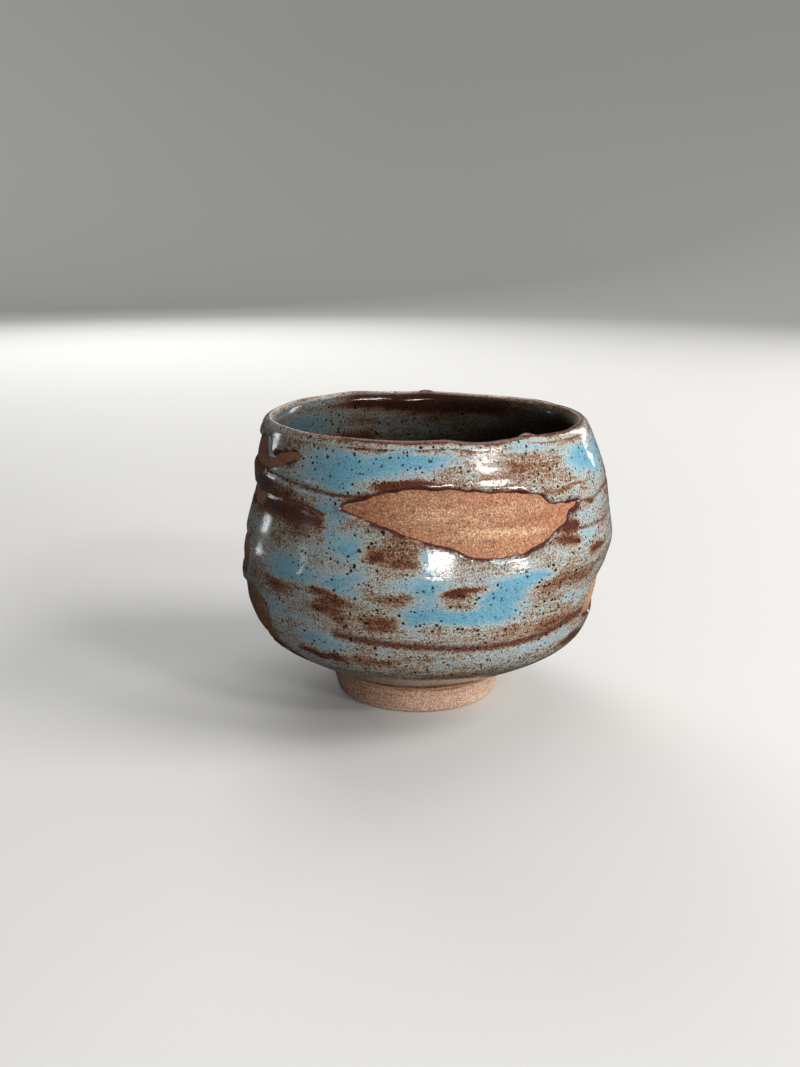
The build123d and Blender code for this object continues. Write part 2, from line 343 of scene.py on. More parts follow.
WALL_HEIGHTS, WALL_RADII, WALL_LEANS = zip(*WALL)
ARC_HEIGHTS = np.linspace(WALL_HEIGHTS[0], WALL_HEIGHTS[-1], 400)
ARC_RADII = smooth_curve(ARC_HEIGHTS, WALL_HEIGHTS, WALL_RADII)
ARC_LENGTHS = np.concatenate([[0], np.cumsum(np.hypot(np.diff(ARC_HEIGHTS), np.diff(ARC_RADII)))])
WALL_LENGTH = ARC_LENGTHS[-1]
MEAN_RADIUS = 49.0


def along_wall(height):
    """Distance up the wall from the glaze line at a height."""
    return np.interp(height, ARC_HEIGHTS, ARC_LENGTHS)


def around_wall(degrees):
    """Distance round the wall for an angle."""
    return np.radians(degrees) * MEAN_RADIUS


def curved_outline(points, closed, steps=8):
    """Points of a smooth line through the given ones."""
    points = np.asarray(points, float)
    count = len(points)
    if closed:
        around = points[np.arange(-1, count + 2) % count]
        spans = count
    else:
        around = np.vstack([2 * points[0] - points[1], points, 2 * points[-1] - points[-2]])
        spans = count - 1
    out = []
    for i in range(spans):
        a, b, c, d = around[i : i + 4]
        for t in np.arange(steps) / steps:
            bent = (2 * a - 5 * b + 4 * c - d) * t * t + (3 * b - a - 3 * c + d) * t**3
            out.append(0.5 * (2 * b + (c - a) * t + bent))
    if not closed:
        out.append(points[-1])
    return np.array(out)


def line_distance(azimuth, height, outline, closed, margin=FAR):
    """Distance on the wall to a smooth line, negative inside a closed one, and at most the margin."""
    middle = (min(p[0] for p in outline) + max(p[0] for p in outline)) / 2
    line = curved_outline(outline, closed)
    line = np.column_stack([around_wall(line[:, 0] - middle), along_wall(line[:, 1])])
    x = around_wall(turned(azimuth, middle)).ravel()
    y = along_wall(height).ravel()
    low, high = line.min(0) - margin, line.max(0) + margin
    near = np.flatnonzero((x > low[0]) & (x < high[0]) & (y > low[1]) & (y < high[1]))
    x, y = x[near], y[near]
    best = np.full(len(near), margin**2)
    inside = np.zeros(len(near), bool)
    ends = np.roll(line, -1, axis=0) if closed else line[1:]
    for (ax, ay), (bx, by) in zip(line, ends):
        dx, dy = bx - ax, by - ay
        t = np.clip(((x - ax) * dx + (y - ay) * dy) / (dx * dx + dy * dy + 1e-12), 0, 1)
        best = np.minimum(best, (x - ax - t * dx) ** 2 + (y - ay - t * dy) ** 2)
        if closed:
            crosses = (ay > y) != (by > y)
            inside ^= crosses & (x < dx * (y - ay) / (dy if dy else 1e-12) + ax)
    out = np.full(azimuth.size, margin)
    out[near] = np.where(inside, -1, 1) * np.sqrt(best)
    return out.reshape(azimuth.shape)


def pools(azimuth, height, marks, points):
    """Sum of soft-edged marks, their edges broken by noise."""
    stretched = points * np.array([1, 1, 2.6])
    push_around = 3.2 * soft_noise(stretched, 9, 3) + 1.4 * soft_noise(stretched, 4, 4)
    push_up = 0.9 * soft_noise(stretched, 8, 5) + 0.5 * soft_noise(stretched, 3.2, 6)
    total = np.zeros(azimuth.shape)
    for at, level, wide, tall, amount in marks:
        across = (turned(azimuth, at) + push_around) / wide
        up = (height - level + push_up) / tall
        far = across**2 + up**2
        total += amount * np.exp(-(far**1.6) * 0.8)
    return total


# ---------------------------------------------------------------- the bowl's surfaces


def lip_rise(azimuth):
    """How far the lip stands above its mean height, by azimuth in degrees."""
    turn = np.radians(azimuth)
    rise = 0.22 * np.sin(2 * turn + 0.6) + 0.12 * np.sin(3 * turn + 2.0) + 0.05 * np.sin(11 * turn)
    for at, spread, amount in LIP_RISES:
        rise = rise + amount * np.exp(-((turned(azimuth, at) / spread) ** 2))
    return rise


def lip_rust(azimuth):
    """How rusty the lip is, by azimuth in degrees."""
    total = 0.1
    for at, spread, amount in LIP_RUST:
        total = total + amount * np.exp(-((turned(azimuth, at) / spread) ** 2))
    return np.minimum(total, 1.0)


def lip_fade(away, points):
    """How much thinner the glaze lies at a distance below a rusty lip."""
    ragged = 0.5 * soft_noise(points, 2.2, 51) + 0.5 * soft_noise(points, 5, 52)
    return 0.34 * (1 - smoothstep(0.0, 1.1 + ragged, away))


def groove_depth(azimuth, height):
    """Depth of the grooves at a place on the wall."""
    depth = np.zeros(azimuth.shape)
    for line, half_width, deep, _ in GROOVES:
        if deep:
            away = line_distance(azimuth, height, line, False)
            depth += deep * np.exp(-((away / (1.5 * half_width)) ** 2)) * (1 - 0.3 * (away > 8))
    return depth


def wall_point(azimuth, height, grooves):
    """Point of the glazed outside surface."""
    turn = np.radians(azimuth)
    radius = smooth_curve(height, WALL_HEIGHTS, WALL_RADII)
    lean = smooth_curve(height, WALL_HEIGHTS, WALL_LEANS)
    rings = 0.03 * np.sin(2 * math.pi * height / 7.4 - turn)
    rings = rings + 0.006 * np.sin(2 * math.pi * height / 3.3 - 2 * turn)
    soft = 0.22 * np.sin(2 * turn + height / 17) + 0.12 * np.sin(3 * turn + 1.3 - height / 11)
    fade = smoothstep(9, 20, height) * (1 - smoothstep(76.5, 78.2, height))
    radius = radius + (rings + soft) * fade - grooves * fade
    up = height + lip_rise(azimuth) * smoothstep(58, 78, height)
    return np.stack([radius * np.sin(turn) + lean, -radius * np.cos(turn), up], axis=-1)


def wall_frame(azimuth, height):
    """Points of the glazed outside surface with their outward normals and upward tangents."""
    step = 0.15
    east = wall_point(azimuth + step, height, 0.0) - wall_point(azimuth - step, height, 0.0)
    top = np.minimum(height + step, WALL_HEIGHTS[-1])
    low = np.maximum(height - step, WALL_HEIGHTS[0])
    up = wall_point(azimuth, top, 0.0) - wall_point(azimuth, low, 0.0)
    up /= np.linalg.norm(up, axis=-1, keepdims=True)
    normal = np.cross(east, up)
    normal /= np.linalg.norm(normal, axis=-1, keepdims=True)
    return wall_point(azimuth, height, groove_depth(azimuth, height)), normal, up


def lip_section(angle, inset, whole):
    """How far out and how far up the lip's section is, from its outside at 0 to its inside at pi. The crest
    stands towards the outside, so the outside falls away more steeply than the inside."""
    crest = LIP_CREST * whole
    reach = (whole - crest if angle < math.pi / 2 else whole + crest) - inset
    return crest + reach * math.cos(angle), (whole - inset) * math.sin(angle)


def lip_frame(azimuth, radius):
    """Centre of the lip's round, its outward and its upward direction, for a lip of the given radius."""
    level = np.full(azimuth.shape, WALL_HEIGHTS[-1])
    point, normal, up = wall_frame(azimuth, level)
    return point - normal * radius, normal, up


def inside_point(azimuth, fraction, offset):
    """Point of the inside surface, by the fraction of the way from the lip to the floor's middle."""
    turn = np.radians(azimuth)
    knots = np.concatenate([[0], np.cumsum([math.dist(a, b) for a, b in zip(INSIDE, INSIDE[1:])])])
    knots /= knots[-1]
    radii, levels = zip(*INSIDE)
    radius = smooth_curve(fraction, knots, radii)
    level = smooth_curve(fraction, knots, levels)
    small = 1e-3
    after, before = np.minimum(fraction + small, 1), np.maximum(fraction - small, 0)
    slope_r = smooth_curve(after, knots, radii) - smooth_curve(before, knots, radii)
    slope_z = smooth_curve(after, knots, levels) - smooth_curve(before, knots, levels)
    length = np.hypot(slope_r, slope_z)
    radius = radius + slope_z / length * offset
    level = level - slope_r / length * offset
    rings = 0.16 * np.sin(2 * math.pi * level / 7.1 - turn) * smoothstep(0.03, 0.15, fraction)
    rings = rings * (1 - smoothstep(0.62, 0.8, fraction))
    floor_turns = 0.12 * np.sin(2 * math.pi * radius / 5.0 + turn) * smoothstep(0.66, 0.75, fraction)
    floor_turns = floor_turns * smoothstep(0, 4, radius)
    lean = smooth_curve(np.clip(level, WALL_HEIGHTS[0], WALL_HEIGHTS[-1]), WALL_HEIGHTS, WALL_LEANS)
    radius = np.maximum(radius + rings, 0)
    return np.stack([radius * np.sin(turn) + lean, -radius * np.cos(turn), level + floor_turns], axis=-1)


# ---------------------------------------------------------------- meshes


def finish_mesh(name, points, faces, uv, fields, material, node):
    """Object from points in millimetres, with its map, its fields and its material, standing for node."""
    mesh = bpy.data.meshes.new(name)
    mesh.from_pydata((np.asarray(points) * MM).tolist(), [], faces)
    layer = mesh.uv_layers.new(name="OFBake")
    layer.data.foreach_set("uv", np.asarray(uv, np.float32).ravel())
    for key, values in fields.items():
        attribute = mesh.attributes.new(key, "FLOAT", "POINT")
        attribute.data.foreach_set("value", np.asarray(values, np.float32).ravel())
    build = bmesh.new()
    build.from_mesh(mesh)
    bmesh.ops.recalc_face_normals(build, faces=build.faces)
    build.to_mesh(mesh)
    build.free()
    mesh.shade_smooth()
    mesh.set_sharp_from_angle(angle=math.radians(50))
    mesh.materials.append(material)
    piece = bpy.data.objects.new(name, mesh)
    bpy.context.scene.collection.objects.link(piece)
    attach(piece, "root")
    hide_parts(node)
    return piece


def strip_map(column, columns, level, strips):
    """Map place of a column and a level from 0 to 1, with the way round cut into stacked strips."""
    strip = min(int(column[0] * strips / columns), strips - 1)
    width = columns / strips
    return [((c - strip * width) / width * 0.996 + 0.002, (strip + 0.004 + 0.992 * v) / strips)
            for c, v in zip(column, level)]


def ring(azimuth, radius, level):
    """Points round the axis at a radius and a level."""
    turn = np.radians(azimuth)
    return np.stack([radius * np.sin(turn), -radius * np.cos(turn), level + np.zeros(azimuth.shape)], axis=-1)


def lathe(rows, loop, levels, strips=2):
    """Points, faces and map of rows of points round the axis. A loop closes its last row to its first, and
    other rows close at the middle of each end."""
    count, around = rows.shape[:2]
    points = rows.reshape(-1, 3)
    faces, uv = [], []
    spans = count if loop else count - 1
    for i in range(spans):
        k = (i + 1) % count
        high = levels[i + 1]
        for j in range(around):
            n = (j + 1) % around
            faces.append((i * around + j, i * around + n, k * around + n, k * around + j))
            uv += strip_map((j, j + 1, j + 1, j), around, (levels[i], levels[i], high, high), strips)
    if not loop:
        ends = [(0, rows[0].mean(0)), (count - 1, rows[-1].mean(0))]
        for row, middle in ends:
            centre = len(points)
            points = np.vstack([points, middle])
            for j in range(around):
                n = (j + 1) % around
                faces.append((row * around + j, row * around + n, centre))
                uv += strip_map((j, j + 1, j + 0.5), around, (levels[row],) * 3, strips)
    return points, faces, uv


def levels_of(rows, hidden=None):
    """Map level of each row, by its distance along the first column, with hidden rows given little room."""
    steps = np.linalg.norm(np.diff(rows[:, 0], axis=0, append=rows[:1, 0]), axis=-1)
    if hidden is not None:
        steps = np.where(hidden, steps * 0.05, steps)
    total = np.concatenate([[0], np.cumsum(steps)])
    return total / total[-1]


def column_azimuths(count):
    """Azimuths of the columns, from the seam round to it."""
    return SEAM_AZIMUTH - 360 + 360 * np.arange(count) / count


def on_wall(azimuth, height, depth):
    """Points at a depth below the glazed surface."""
    point, normal, _ = wall_frame(azimuth, height)
    return point - normal * depth


def lip_rows(azimuth, inset, sizes, count):
    """Rows over the lip from its outside to its inside, at a depth below the glaze."""
    whole = (sizes.lip_half + sizes.coat) / MM
    centre, out, up = lip_frame(azimuth, whole)
    rows = []
    for angle in np.linspace(0, math.pi, count):
        across, along = lip_section(angle, inset, whole)
        rows.append(centre + across * out + along * up)
    return np.array(rows)


def inside_rows(azimuth, offset, sizes, count, floor_end=1.0):
    """Rows from the lip's inside down to the floor, which meet the lip's round."""
    whole = (sizes.lip_half + sizes.coat) / MM
    centre, out, _ = lip_frame(azimuth, whole)
    start = centre - out * (whole + offset)
    fractions = floor_end * np.linspace(0, 1, count)
    nominal = inside_point(azimuth, np.zeros(azimuth.shape), offset)
    rows = []
    for fraction in fractions:
        share = 1 - smoothstep(0, 0.22, fraction)
        level = inside_point(azimuth, np.full(azimuth.shape, fraction), offset)
        rows.append(level + (start - nominal) * share)
    return np.array(rows)


def patch_field(azimuth, height, points):
    """Distance from the nearest bare patch: positive on the glaze, negative on bare clay."""
    field = np.full(azimuth.shape, FAR)
    for outline in PATCHES.values():
        field = np.minimum(field, line_distance(azimuth, height, outline, True))
    ragged = 0.34 * soft_noise(points, 2.6, 11) + 0.16 * soft_noise(points, 1.1, 12)
    return field + ragged * (1 - smoothstep(3, 8, np.abs(field)))


def groove_rust(azimuth, height):
    """How rusty the glaze is in and beside the grooves."""
    rust = np.zeros(azimuth.shape)
    for line, half_width, _, dark in GROOVES:
        away = line_distance(azimuth, height, line, False)
        rust = np.maximum(rust, dark * np.clip(1 - away / (3.2 * half_width), 0, 1))
    return rust


def glaze_fields(pool):
    """What the glaze materials read at each point: how thick it lies, how rusty it is, and how far its edge
    is. Away from the grooves and the bare patches only the thickness changes."""
    return {"pool": pool, "rust": np.zeros(len(pool)), "fringe": np.full(len(pool), FAR)}


# ---------------------------------------------------------------- shader node groups


class Graph:
    """Adds and links the nodes of one tree."""

    def __init__(self, tree):
        self.tree = tree

    def add(self, kind, inputs=(), **settings):
        node = self.tree.nodes.new(kind)
        for key, value in settings.items():
            setattr(node, key, value)
        for key, value in dict(inputs).items():
            self.feed(node.inputs[key], value)
        return node

    def feed(self, socket, value):
        """Links a socket to another one, or sets its value. A colour may come without its alpha."""
        if isinstance(value, bpy.types.NodeSocket):
            self.tree.links.new(value, socket)
        elif socket.type == "RGBA":
            socket.default_value = (*value[:3], 1)
        else:
            socket.default_value = value

    def math(self, operation, a, b=0.0, clamp=False):
        return self.add("ShaderNodeMath", {0: a, 1: b}, operation=operation, use_clamp=clamp).outputs[0]

    def plus(self, a, b, clamp=False):
        return self.math("ADD", a, b, clamp)

    def minus(self, a, b):
        return self.math("SUBTRACT", a, b)

    def times(self, a, b, clamp=False):
        return self.math("MULTIPLY", a, b, clamp)

    def stretch(self, vector, factors):
        return self.add("ShaderNodeVectorMath", {0: vector, 1: factors}, operation="MULTIPLY").outputs[0]

    def scale(self, vector, factor):
        return self.add("ShaderNodeVectorMath", {0: vector, 3: factor}, operation="SCALE").outputs[0]

    def group(self, tree, inputs):
        return self.add("ShaderNodeGroup", inputs, node_tree=tree).outputs

    def noise(self, vector, scale, detail=2.0, roughness=0.5):
        values = {"Vector": vector, "Scale": scale, "Detail": detail, "Roughness": roughness}
        return self.add("ShaderNodeTexNoise", values).outputs[0]

    def about(self, vector, scale, detail, roughness):
        """Noise about 0."""
        return self.minus(self.noise(vector, scale, detail, roughness), 0.5)

    def ease(self, value, low, high, to_low=0.0, to_high=1.0):
        values = {0: value, 1: low, 2: high, 3: to_low, 4: to_high}
        return self.add("ShaderNodeMapRange", values, interpolation_type="SMOOTHSTEP").outputs[0]

    def mix(self, factor, a, b, **settings):
        node = self.add("ShaderNodeMix", data_type="RGBA", **settings)
        colour_sockets = [s for s in node.inputs if s.type == "RGBA"]
        self.feed(node.inputs[0], factor)
        self.feed(colour_sockets[0], a)
        self.feed(colour_sockets[1], b)
        return [s for s in node.outputs if s.type == "RGBA"][0]

    def ramp(self, factor, stops):
        node = self.add("ShaderNodeValToRGB", {0: factor})
        elements = node.color_ramp.elements
        while len(elements) < len(stops):
            elements.new(0.5)
        for element, (place, colour) in zip(elements, stops):
            element.position = place
            element.color = (*colour[:3], 1)
        return node.outputs[0]


def new_group(name, inputs, outputs):
    """Empty shader node group with named sockets, and its graph, input node and output node."""
    tree = bpy.data.node_groups.new(name, "ShaderNodeTree")
    for key, kind, default in inputs:
        socket = tree.interface.new_socket(key, in_out="INPUT", socket_type=kind)
        if default is not None:
            socket.default_value = default
    for key, kind in outputs:
        tree.interface.new_socket(key, in_out="OUTPUT", socket_type=kind)
    graph = Graph(tree)
    return graph, graph.add("NodeGroupInput").outputs, graph.add("NodeGroupOutput").inputs


VECTOR, VALUE, COLOUR = "NodeSocketVector", "NodeSocketFloat", "NodeSocketColor"


def specks_group():
    """Round specks scattered at a spacing, of uneven size, as a mask."""
    if "Iron specks" in bpy.data.node_groups:
        return bpy.data.node_groups["Iron specks"]
    graph, given, out = new_group(
        "Iron specks",
        [("Vector", VECTOR, None), ("Density", VALUE, 0.5), ("Size", VALUE, 0.2), ("Share", VALUE, 0.5)],
        [("Mask", VALUE)],
    )
    values = {"Vector": given["Vector"], "Scale": 1.3, "Detail": 2.0}
    bend = graph.add("ShaderNodeTexNoise", values).outputs["Color"]
    values = {0: bend, 1: (0.9, 0.9, 0.6), 2: given["Vector"]}
    bent = graph.add("ShaderNodeVectorMath", values, operation="MULTIPLY_ADD").outputs[0]
    cells = graph.add("ShaderNodeTexVoronoi", {"Vector": bent, "Scale": given["Density"]}, feature="F1")
    chance = graph.add("ShaderNodeSeparateColor", {0: cells.outputs["Color"]}).outputs
    size = graph.times(given["Size"], graph.plus(graph.math("POWER", chance[1], 2.0), 0.35))
    edge = graph.minus(size, cells.outputs["Distance"])
    mark = graph.times(edge, 28.0, clamp=True)
    kept = graph.math("LESS_THAN", chance[0], given["Share"])
    graph.feed(out["Mask"], graph.times(mark, kept))
    return graph.tree


def grain_group():
    """Sandy grain of fired clay: a mask of pale and dark grains and its relief."""
    if "Clay grain" in bpy.data.node_groups:
        return bpy.data.node_groups["Clay grain"]
    graph, given, out = new_group(
        "Clay grain",
        [("Vector", VECTOR, None), ("Coarseness", VALUE, 1.0)],
        [("Grain", VALUE), ("Pits", VALUE), ("Relief", VALUE)],
    )
    place = graph.scale(given["Vector"], given["Coarseness"])
    fine = graph.noise(place, 2.6, 3.0, 0.65)
    coarse = graph.noise(place, 0.9, 2.0, 0.55)
    pits = graph.add("ShaderNodeTexVoronoi", {"Vector": place, "Scale": 0.7}, feature="F1")
    hole = graph.ease(pits.outputs["Distance"], 0.10, 0.20, 1.0, 0.0)
    graph.feed(out["Grain"], graph.plus(graph.times(fine, 0.7), graph.times(coarse, 0.3)))
    graph.feed(out["Pits"], hole)
    graph.feed(out["Relief"], graph.minus(fine, graph.times(hole, 0.5)))
    return graph.tree


def streaks_group():
    """Streaks drawn out round the bowl by the wheel, as a value about 0."""
    if "Wheel streaks" in bpy.data.node_groups:
        return bpy.data.node_groups["Wheel streaks"]
    graph, given, out = new_group(
        "Wheel streaks",
        [("Vector", VECTOR, None), ("Broad", VALUE, 0.3), ("Narrow", VALUE, 0.2)],
        [("Streaks", VALUE)],
    )
    broad = graph.about(graph.stretch(given["Vector"], (1, 1, 4.5)), 0.055, 4.0, 0.55)
    narrow = graph.about(graph.stretch(given["Vector"], (1, 1, 9.0)), 0.15, 3.0, 0.6)
    broad = graph.times(broad, given["Broad"])
    graph.feed(out["Streaks"], graph.plus(broad, graph.times(narrow, given["Narrow"])))
    return graph.tree


def glaze_group(colours):
    """Broken glaze: its colour, roughness and relief from how thick it lies."""
    if "Broken glaze" in bpy.data.node_groups:
        return bpy.data.node_groups["Broken glaze"]
    graph, given, out = new_group(
        "Broken glaze",
        [
            ("Vector", VECTOR, None), ("Thickness", VALUE, 0.5), ("Rust", VALUE, 0.0), ("Edge", VALUE, FAR),
            ("Crest", VALUE, 0.0), ("Speckle", VALUE, 1.0), ("Contrast", VALUE, 1.0),
            ("Shade", COLOUR, WHITE),
        ],
        [("Colour", COLOUR), ("Roughness", VALUE), ("Relief", VALUE)],
    )
    place = graph.scale(given["Vector"], 1 / MM)
    broad = graph.times(given["Contrast"], 0.60)
    narrow = graph.times(given["Contrast"], 0.55)
    streaks = graph.group(streaks_group(), {"Vector": place, "Broad": broad, "Narrow": narrow})[0]
    cloud = graph.times(graph.about(place, 0.16, 4.0, 0.6), 0.32)
    lie = graph.plus(graph.plus(given["Thickness"], streaks), cloud)
    thin = graph.ease(lie, 0.50, 0.85, 1.0, 0.0)
    fine = graph.about(place, 2.6, 2.0, 0.7)
    coarse = graph.about(graph.stretch(place, (1, 1, 1.6)), 0.85, 3.0, 0.65)
    grain = graph.plus(graph.times(fine, 0.85), graph.times(coarse, 0.40))
    speckle = graph.times(given["Speckle"], graph.plus(graph.times(thin, 0.7), 0.45))
    lie_grained = graph.plus(lie, graph.times(grain, speckle))
    colour = graph.ramp(
        lie_grained,
        [(0.02, colours.umber), (0.17, colours.rust), (0.36, colours.tan), (0.50, colours.grey),
         (0.68, colours.pale_blue), (0.92, colours.blue)],
    )
    share = graph.times(thin, graph.ease(coarse, -0.12, 0.12, 0.35, 1.0))
    dots = graph.group(specks_group(), {"Vector": place, "Density": 1.05, "Size": 0.33, "Share": share})[0]
    colour = graph.mix(graph.times(dots, 0.55), colour, colours.rust)
    # Rust in the grooves
    ragged = graph.times(graph.about(place, 1.1, 3.0, 0.65), 1.3)
    groove = graph.ease(graph.plus(given["Rust"], graph.times(ragged, 0.6)), 0.35, 0.85)
    groove = graph.times(groove, graph.math("GREATER_THAN", given["Rust"], 0.02))
    rusty = graph.mix(graph.ease(grain, -0.1, 0.15), colours.umber, colours.rust)
    colour = graph.mix(groove, colour, rusty)
    # Dark edge round the bare patches, with a speckled rusty border outside it
    away = graph.plus(given["Edge"], graph.times(ragged, 0.5))
    uneven = graph.ease(graph.noise(place, 0.22, 2.0), 0.38, 0.62)
    border = graph.times(graph.ease(away, 0.4, 2.6, 1.0, 0.0), graph.times(uneven, 0.8))
    bordering = graph.mix(graph.ease(grain, -0.12, 0.12), colours.maroon, colours.rust)
    colour = graph.mix(border, colour, bordering)
    rim = graph.minus(graph.plus(graph.times(uneven, 0.55), 0.36), away)
    rim = graph.plus(graph.times(rim, 2.5), 0.5, clamp=True)
    colour = graph.mix(graph.times(rim, 0.95), colour, colours.maroon)
    # Pale crest of the lip: partly pale glaze, partly a painted highlight
    colour = graph.mix(given["Crest"], colour, colours.crest_cream_and_highlight)
    # Iron specks, many small and a few large
    masks = []
    kinds = ((0.95, 0.34, 0.62), (0.42, 0.18, 0.55), (0.13, 0.085, 0.9), (1.7, 0.36, 0.6))
    for density, size, share in kinds:
        values = {"Vector": place, "Density": density, "Size": size, "Share": share}
        masks.append(graph.group(specks_group(), values)[0])
    masks[3] = graph.times(graph.times(masks[3], thin), 0.8)
    dark = masks[0]
    for mask in masks[1:]:
        dark = graph.math("MAXIMUM", dark, mask)
    dark = graph.times(dark, graph.ease(lie, 0.80, 1.15, 1.0, 0.5))
    colour = graph.mix(graph.times(dark, 0.96), colour, colours.iron)
    bright = graph.plus(graph.times(fine, 2.2), 1.0)
    colour = graph.scale(colour, bright)
    # The Shade colour multiplies the glaze; inside the bowl and on the lip's inside it is painted shade
    graph.feed(out["Colour"], graph.mix(1.0, colour, given["Shade"], blend_type="MULTIPLY"))
    rough = graph.plus(graph.ease(lie, 0.15, 0.8, 0.10, 0.04), graph.times(dark, 0.15))
    rough = graph.plus(rough, graph.times(rim, 0.18))
    graph.feed(out["Roughness"], rough)
    swell = graph.times(graph.noise(place, 0.30, 2.0), 0.22)
    relief = graph.plus(graph.times(graph.times(grain, thin), 0.22), swell)
    relief = graph.minus(relief, graph.times(dark, 0.35))
    graph.feed(out["Relief"], graph.minus(relief, graph.times(groove, 0.4)))
    return graph.tree


# ---------------------------------------------------------------- materials


def new_material(name):
    """Empty material with its graph, shader and object coordinates."""
    material = bpy.data.materials.new(name)
    material.use_nodes = True
    material.node_tree.nodes.clear()
    graph = Graph(material.node_tree)
    shader = graph.add("ShaderNodeBsdfPrincipled")
    output = graph.add("ShaderNodeOutputMaterial")
    graph.feed(output.inputs["Surface"], shader.outputs[0])
    place = graph.add("ShaderNodeTexCoord").outputs["Object"]
    return material, graph, shader, place


def field_socket(graph, name):
    """Value of one of the piece's own fields."""
    return graph.add("ShaderNodeAttribute", attribute_name=name, attribute_type="GEOMETRY").outputs["Fac"]


def finish_shader(graph, shader, colour, roughness, relief, depth, strength):
    """Gives a shader its colour, its roughness and a bump of the given depth in millimetres."""
    bump = graph.add("ShaderNodeBump", {"Height": relief, "Distance": depth * MM, "Strength": strength})
    graph.feed(shader.inputs["Base Color"], colour)
    graph.feed(shader.inputs["Roughness"], roughness)
    graph.feed(shader.inputs["Normal"], bump.outputs[0])


def glaze_material(name, shade=WHITE, speckle=1.0, contrast=1.0, lip=False):
    """Glossy broken glaze, multiplied by the shade colour, which inside the bowl is painted shade. A lip has
    a pale crest that is partly a painted highlight, and takes the painted shade on its inside only.
    """
    material, graph, shader, place = new_material(name)
    values = {"Vector": place, "Speckle": speckle, "Contrast": contrast}
    for key, field in (("Thickness", "pool"), ("Rust", "rust"), ("Edge", "fringe")):
        values[key] = field_socket(graph, field)
    if lip:
        values["Crest"] = field_socket(graph, "crest")
        # Painted shade on the lip's inside, fading out towards the crest
        shade = graph.mix(field_socket(graph, "lip_painted_shade"), WHITE, shade)
    values["Shade"] = shade
    glaze = graph.group(glaze_group(bpy.context.scene.bowl_glaze), values)
    finish_shader(graph, shader, glaze["Colour"], glaze["Roughness"], glaze["Relief"], 0.16, 0.8)
    shader.inputs["IOR"].default_value = 1.52
    return material


def clay_material(name, base, toasted_and_shaded, sand, coarseness, wiping):
    """Bare wiped clay with sand in it."""
    material, graph, shader, place = new_material(name)
    place = graph.scale(place, 1 / MM)
    grain = graph.group(grain_group(), {"Vector": place, "Coarseness": coarseness})
    streaks = graph.group(streaks_group(), {"Vector": place, "Broad": wiping * 0.5, "Narrow": wiping})[0]
    wiped = graph.plus(streaks, field_socket(graph, "tone"))
    fine = graph.about(place, 2.0 * coarseness, 3.0, 0.75)
    wiped = graph.plus(wiped, graph.times(fine, 0.9))
    dark = [c * 0.45 for c in toasted_and_shaded]
    # Low tone gives the darker, reddened colours, which include painted shade on the left side of the clay
    # and of the foot
    colour = graph.ramp(wiped, [(0.02, dark), (0.28, toasted_and_shaded), (0.52, base), (0.95, sand)])
    near_edge = graph.ease(field_socket(graph, "fringe"), -3.5, -0.1)
    colour = graph.mix(graph.times(near_edge, 0.65), colour, toasted_and_shaded)
    light_grain = graph.ease(grain["Grain"], 0.53, 0.62)
    dark_grain = graph.ease(grain["Grain"], 0.47, 0.38)
    colour = graph.mix(graph.times(light_grain, 0.6), colour, sand)
    colour = graph.mix(graph.times(dark_grain, 0.7), colour, dark)
    colour = graph.mix(graph.times(grain["Pits"], 0.35), colour, [c * 0.5 for c in dark])
    bright = graph.plus(graph.times(fine, 3.6), 1.0)
    colour = graph.scale(colour, bright)
    relief = graph.plus(grain["Relief"], graph.times(streaks, 1.2))
    roughness = graph.ease(grain["Grain"], 0.3, 0.7, 0.62, 0.86)
    finish_shader(graph, shader, colour, roughness, relief, 0.12, 0.9)
    return material


def plain_material(name, colour, roughness):
    """Soft matt paper for the backdrop."""
    material, graph, shader, place = new_material(name)
    tone = graph.noise(place, 3.0, 3.0, 0.5)
    graph.feed(shader.inputs["Base Color"], graph.mix(tone, [c * 0.985 for c in colour], colour))
    shader.inputs["Roughness"].default_value = roughness
    return material


# ---------------------------------------------------------------- operators


class BowlOperator:
    """What the bowl's operators share."""

    bl_options = {"REGISTER", "UNDO"}

    @property
    def sizes(self):
        return bpy.context.scene.bowl_sizes


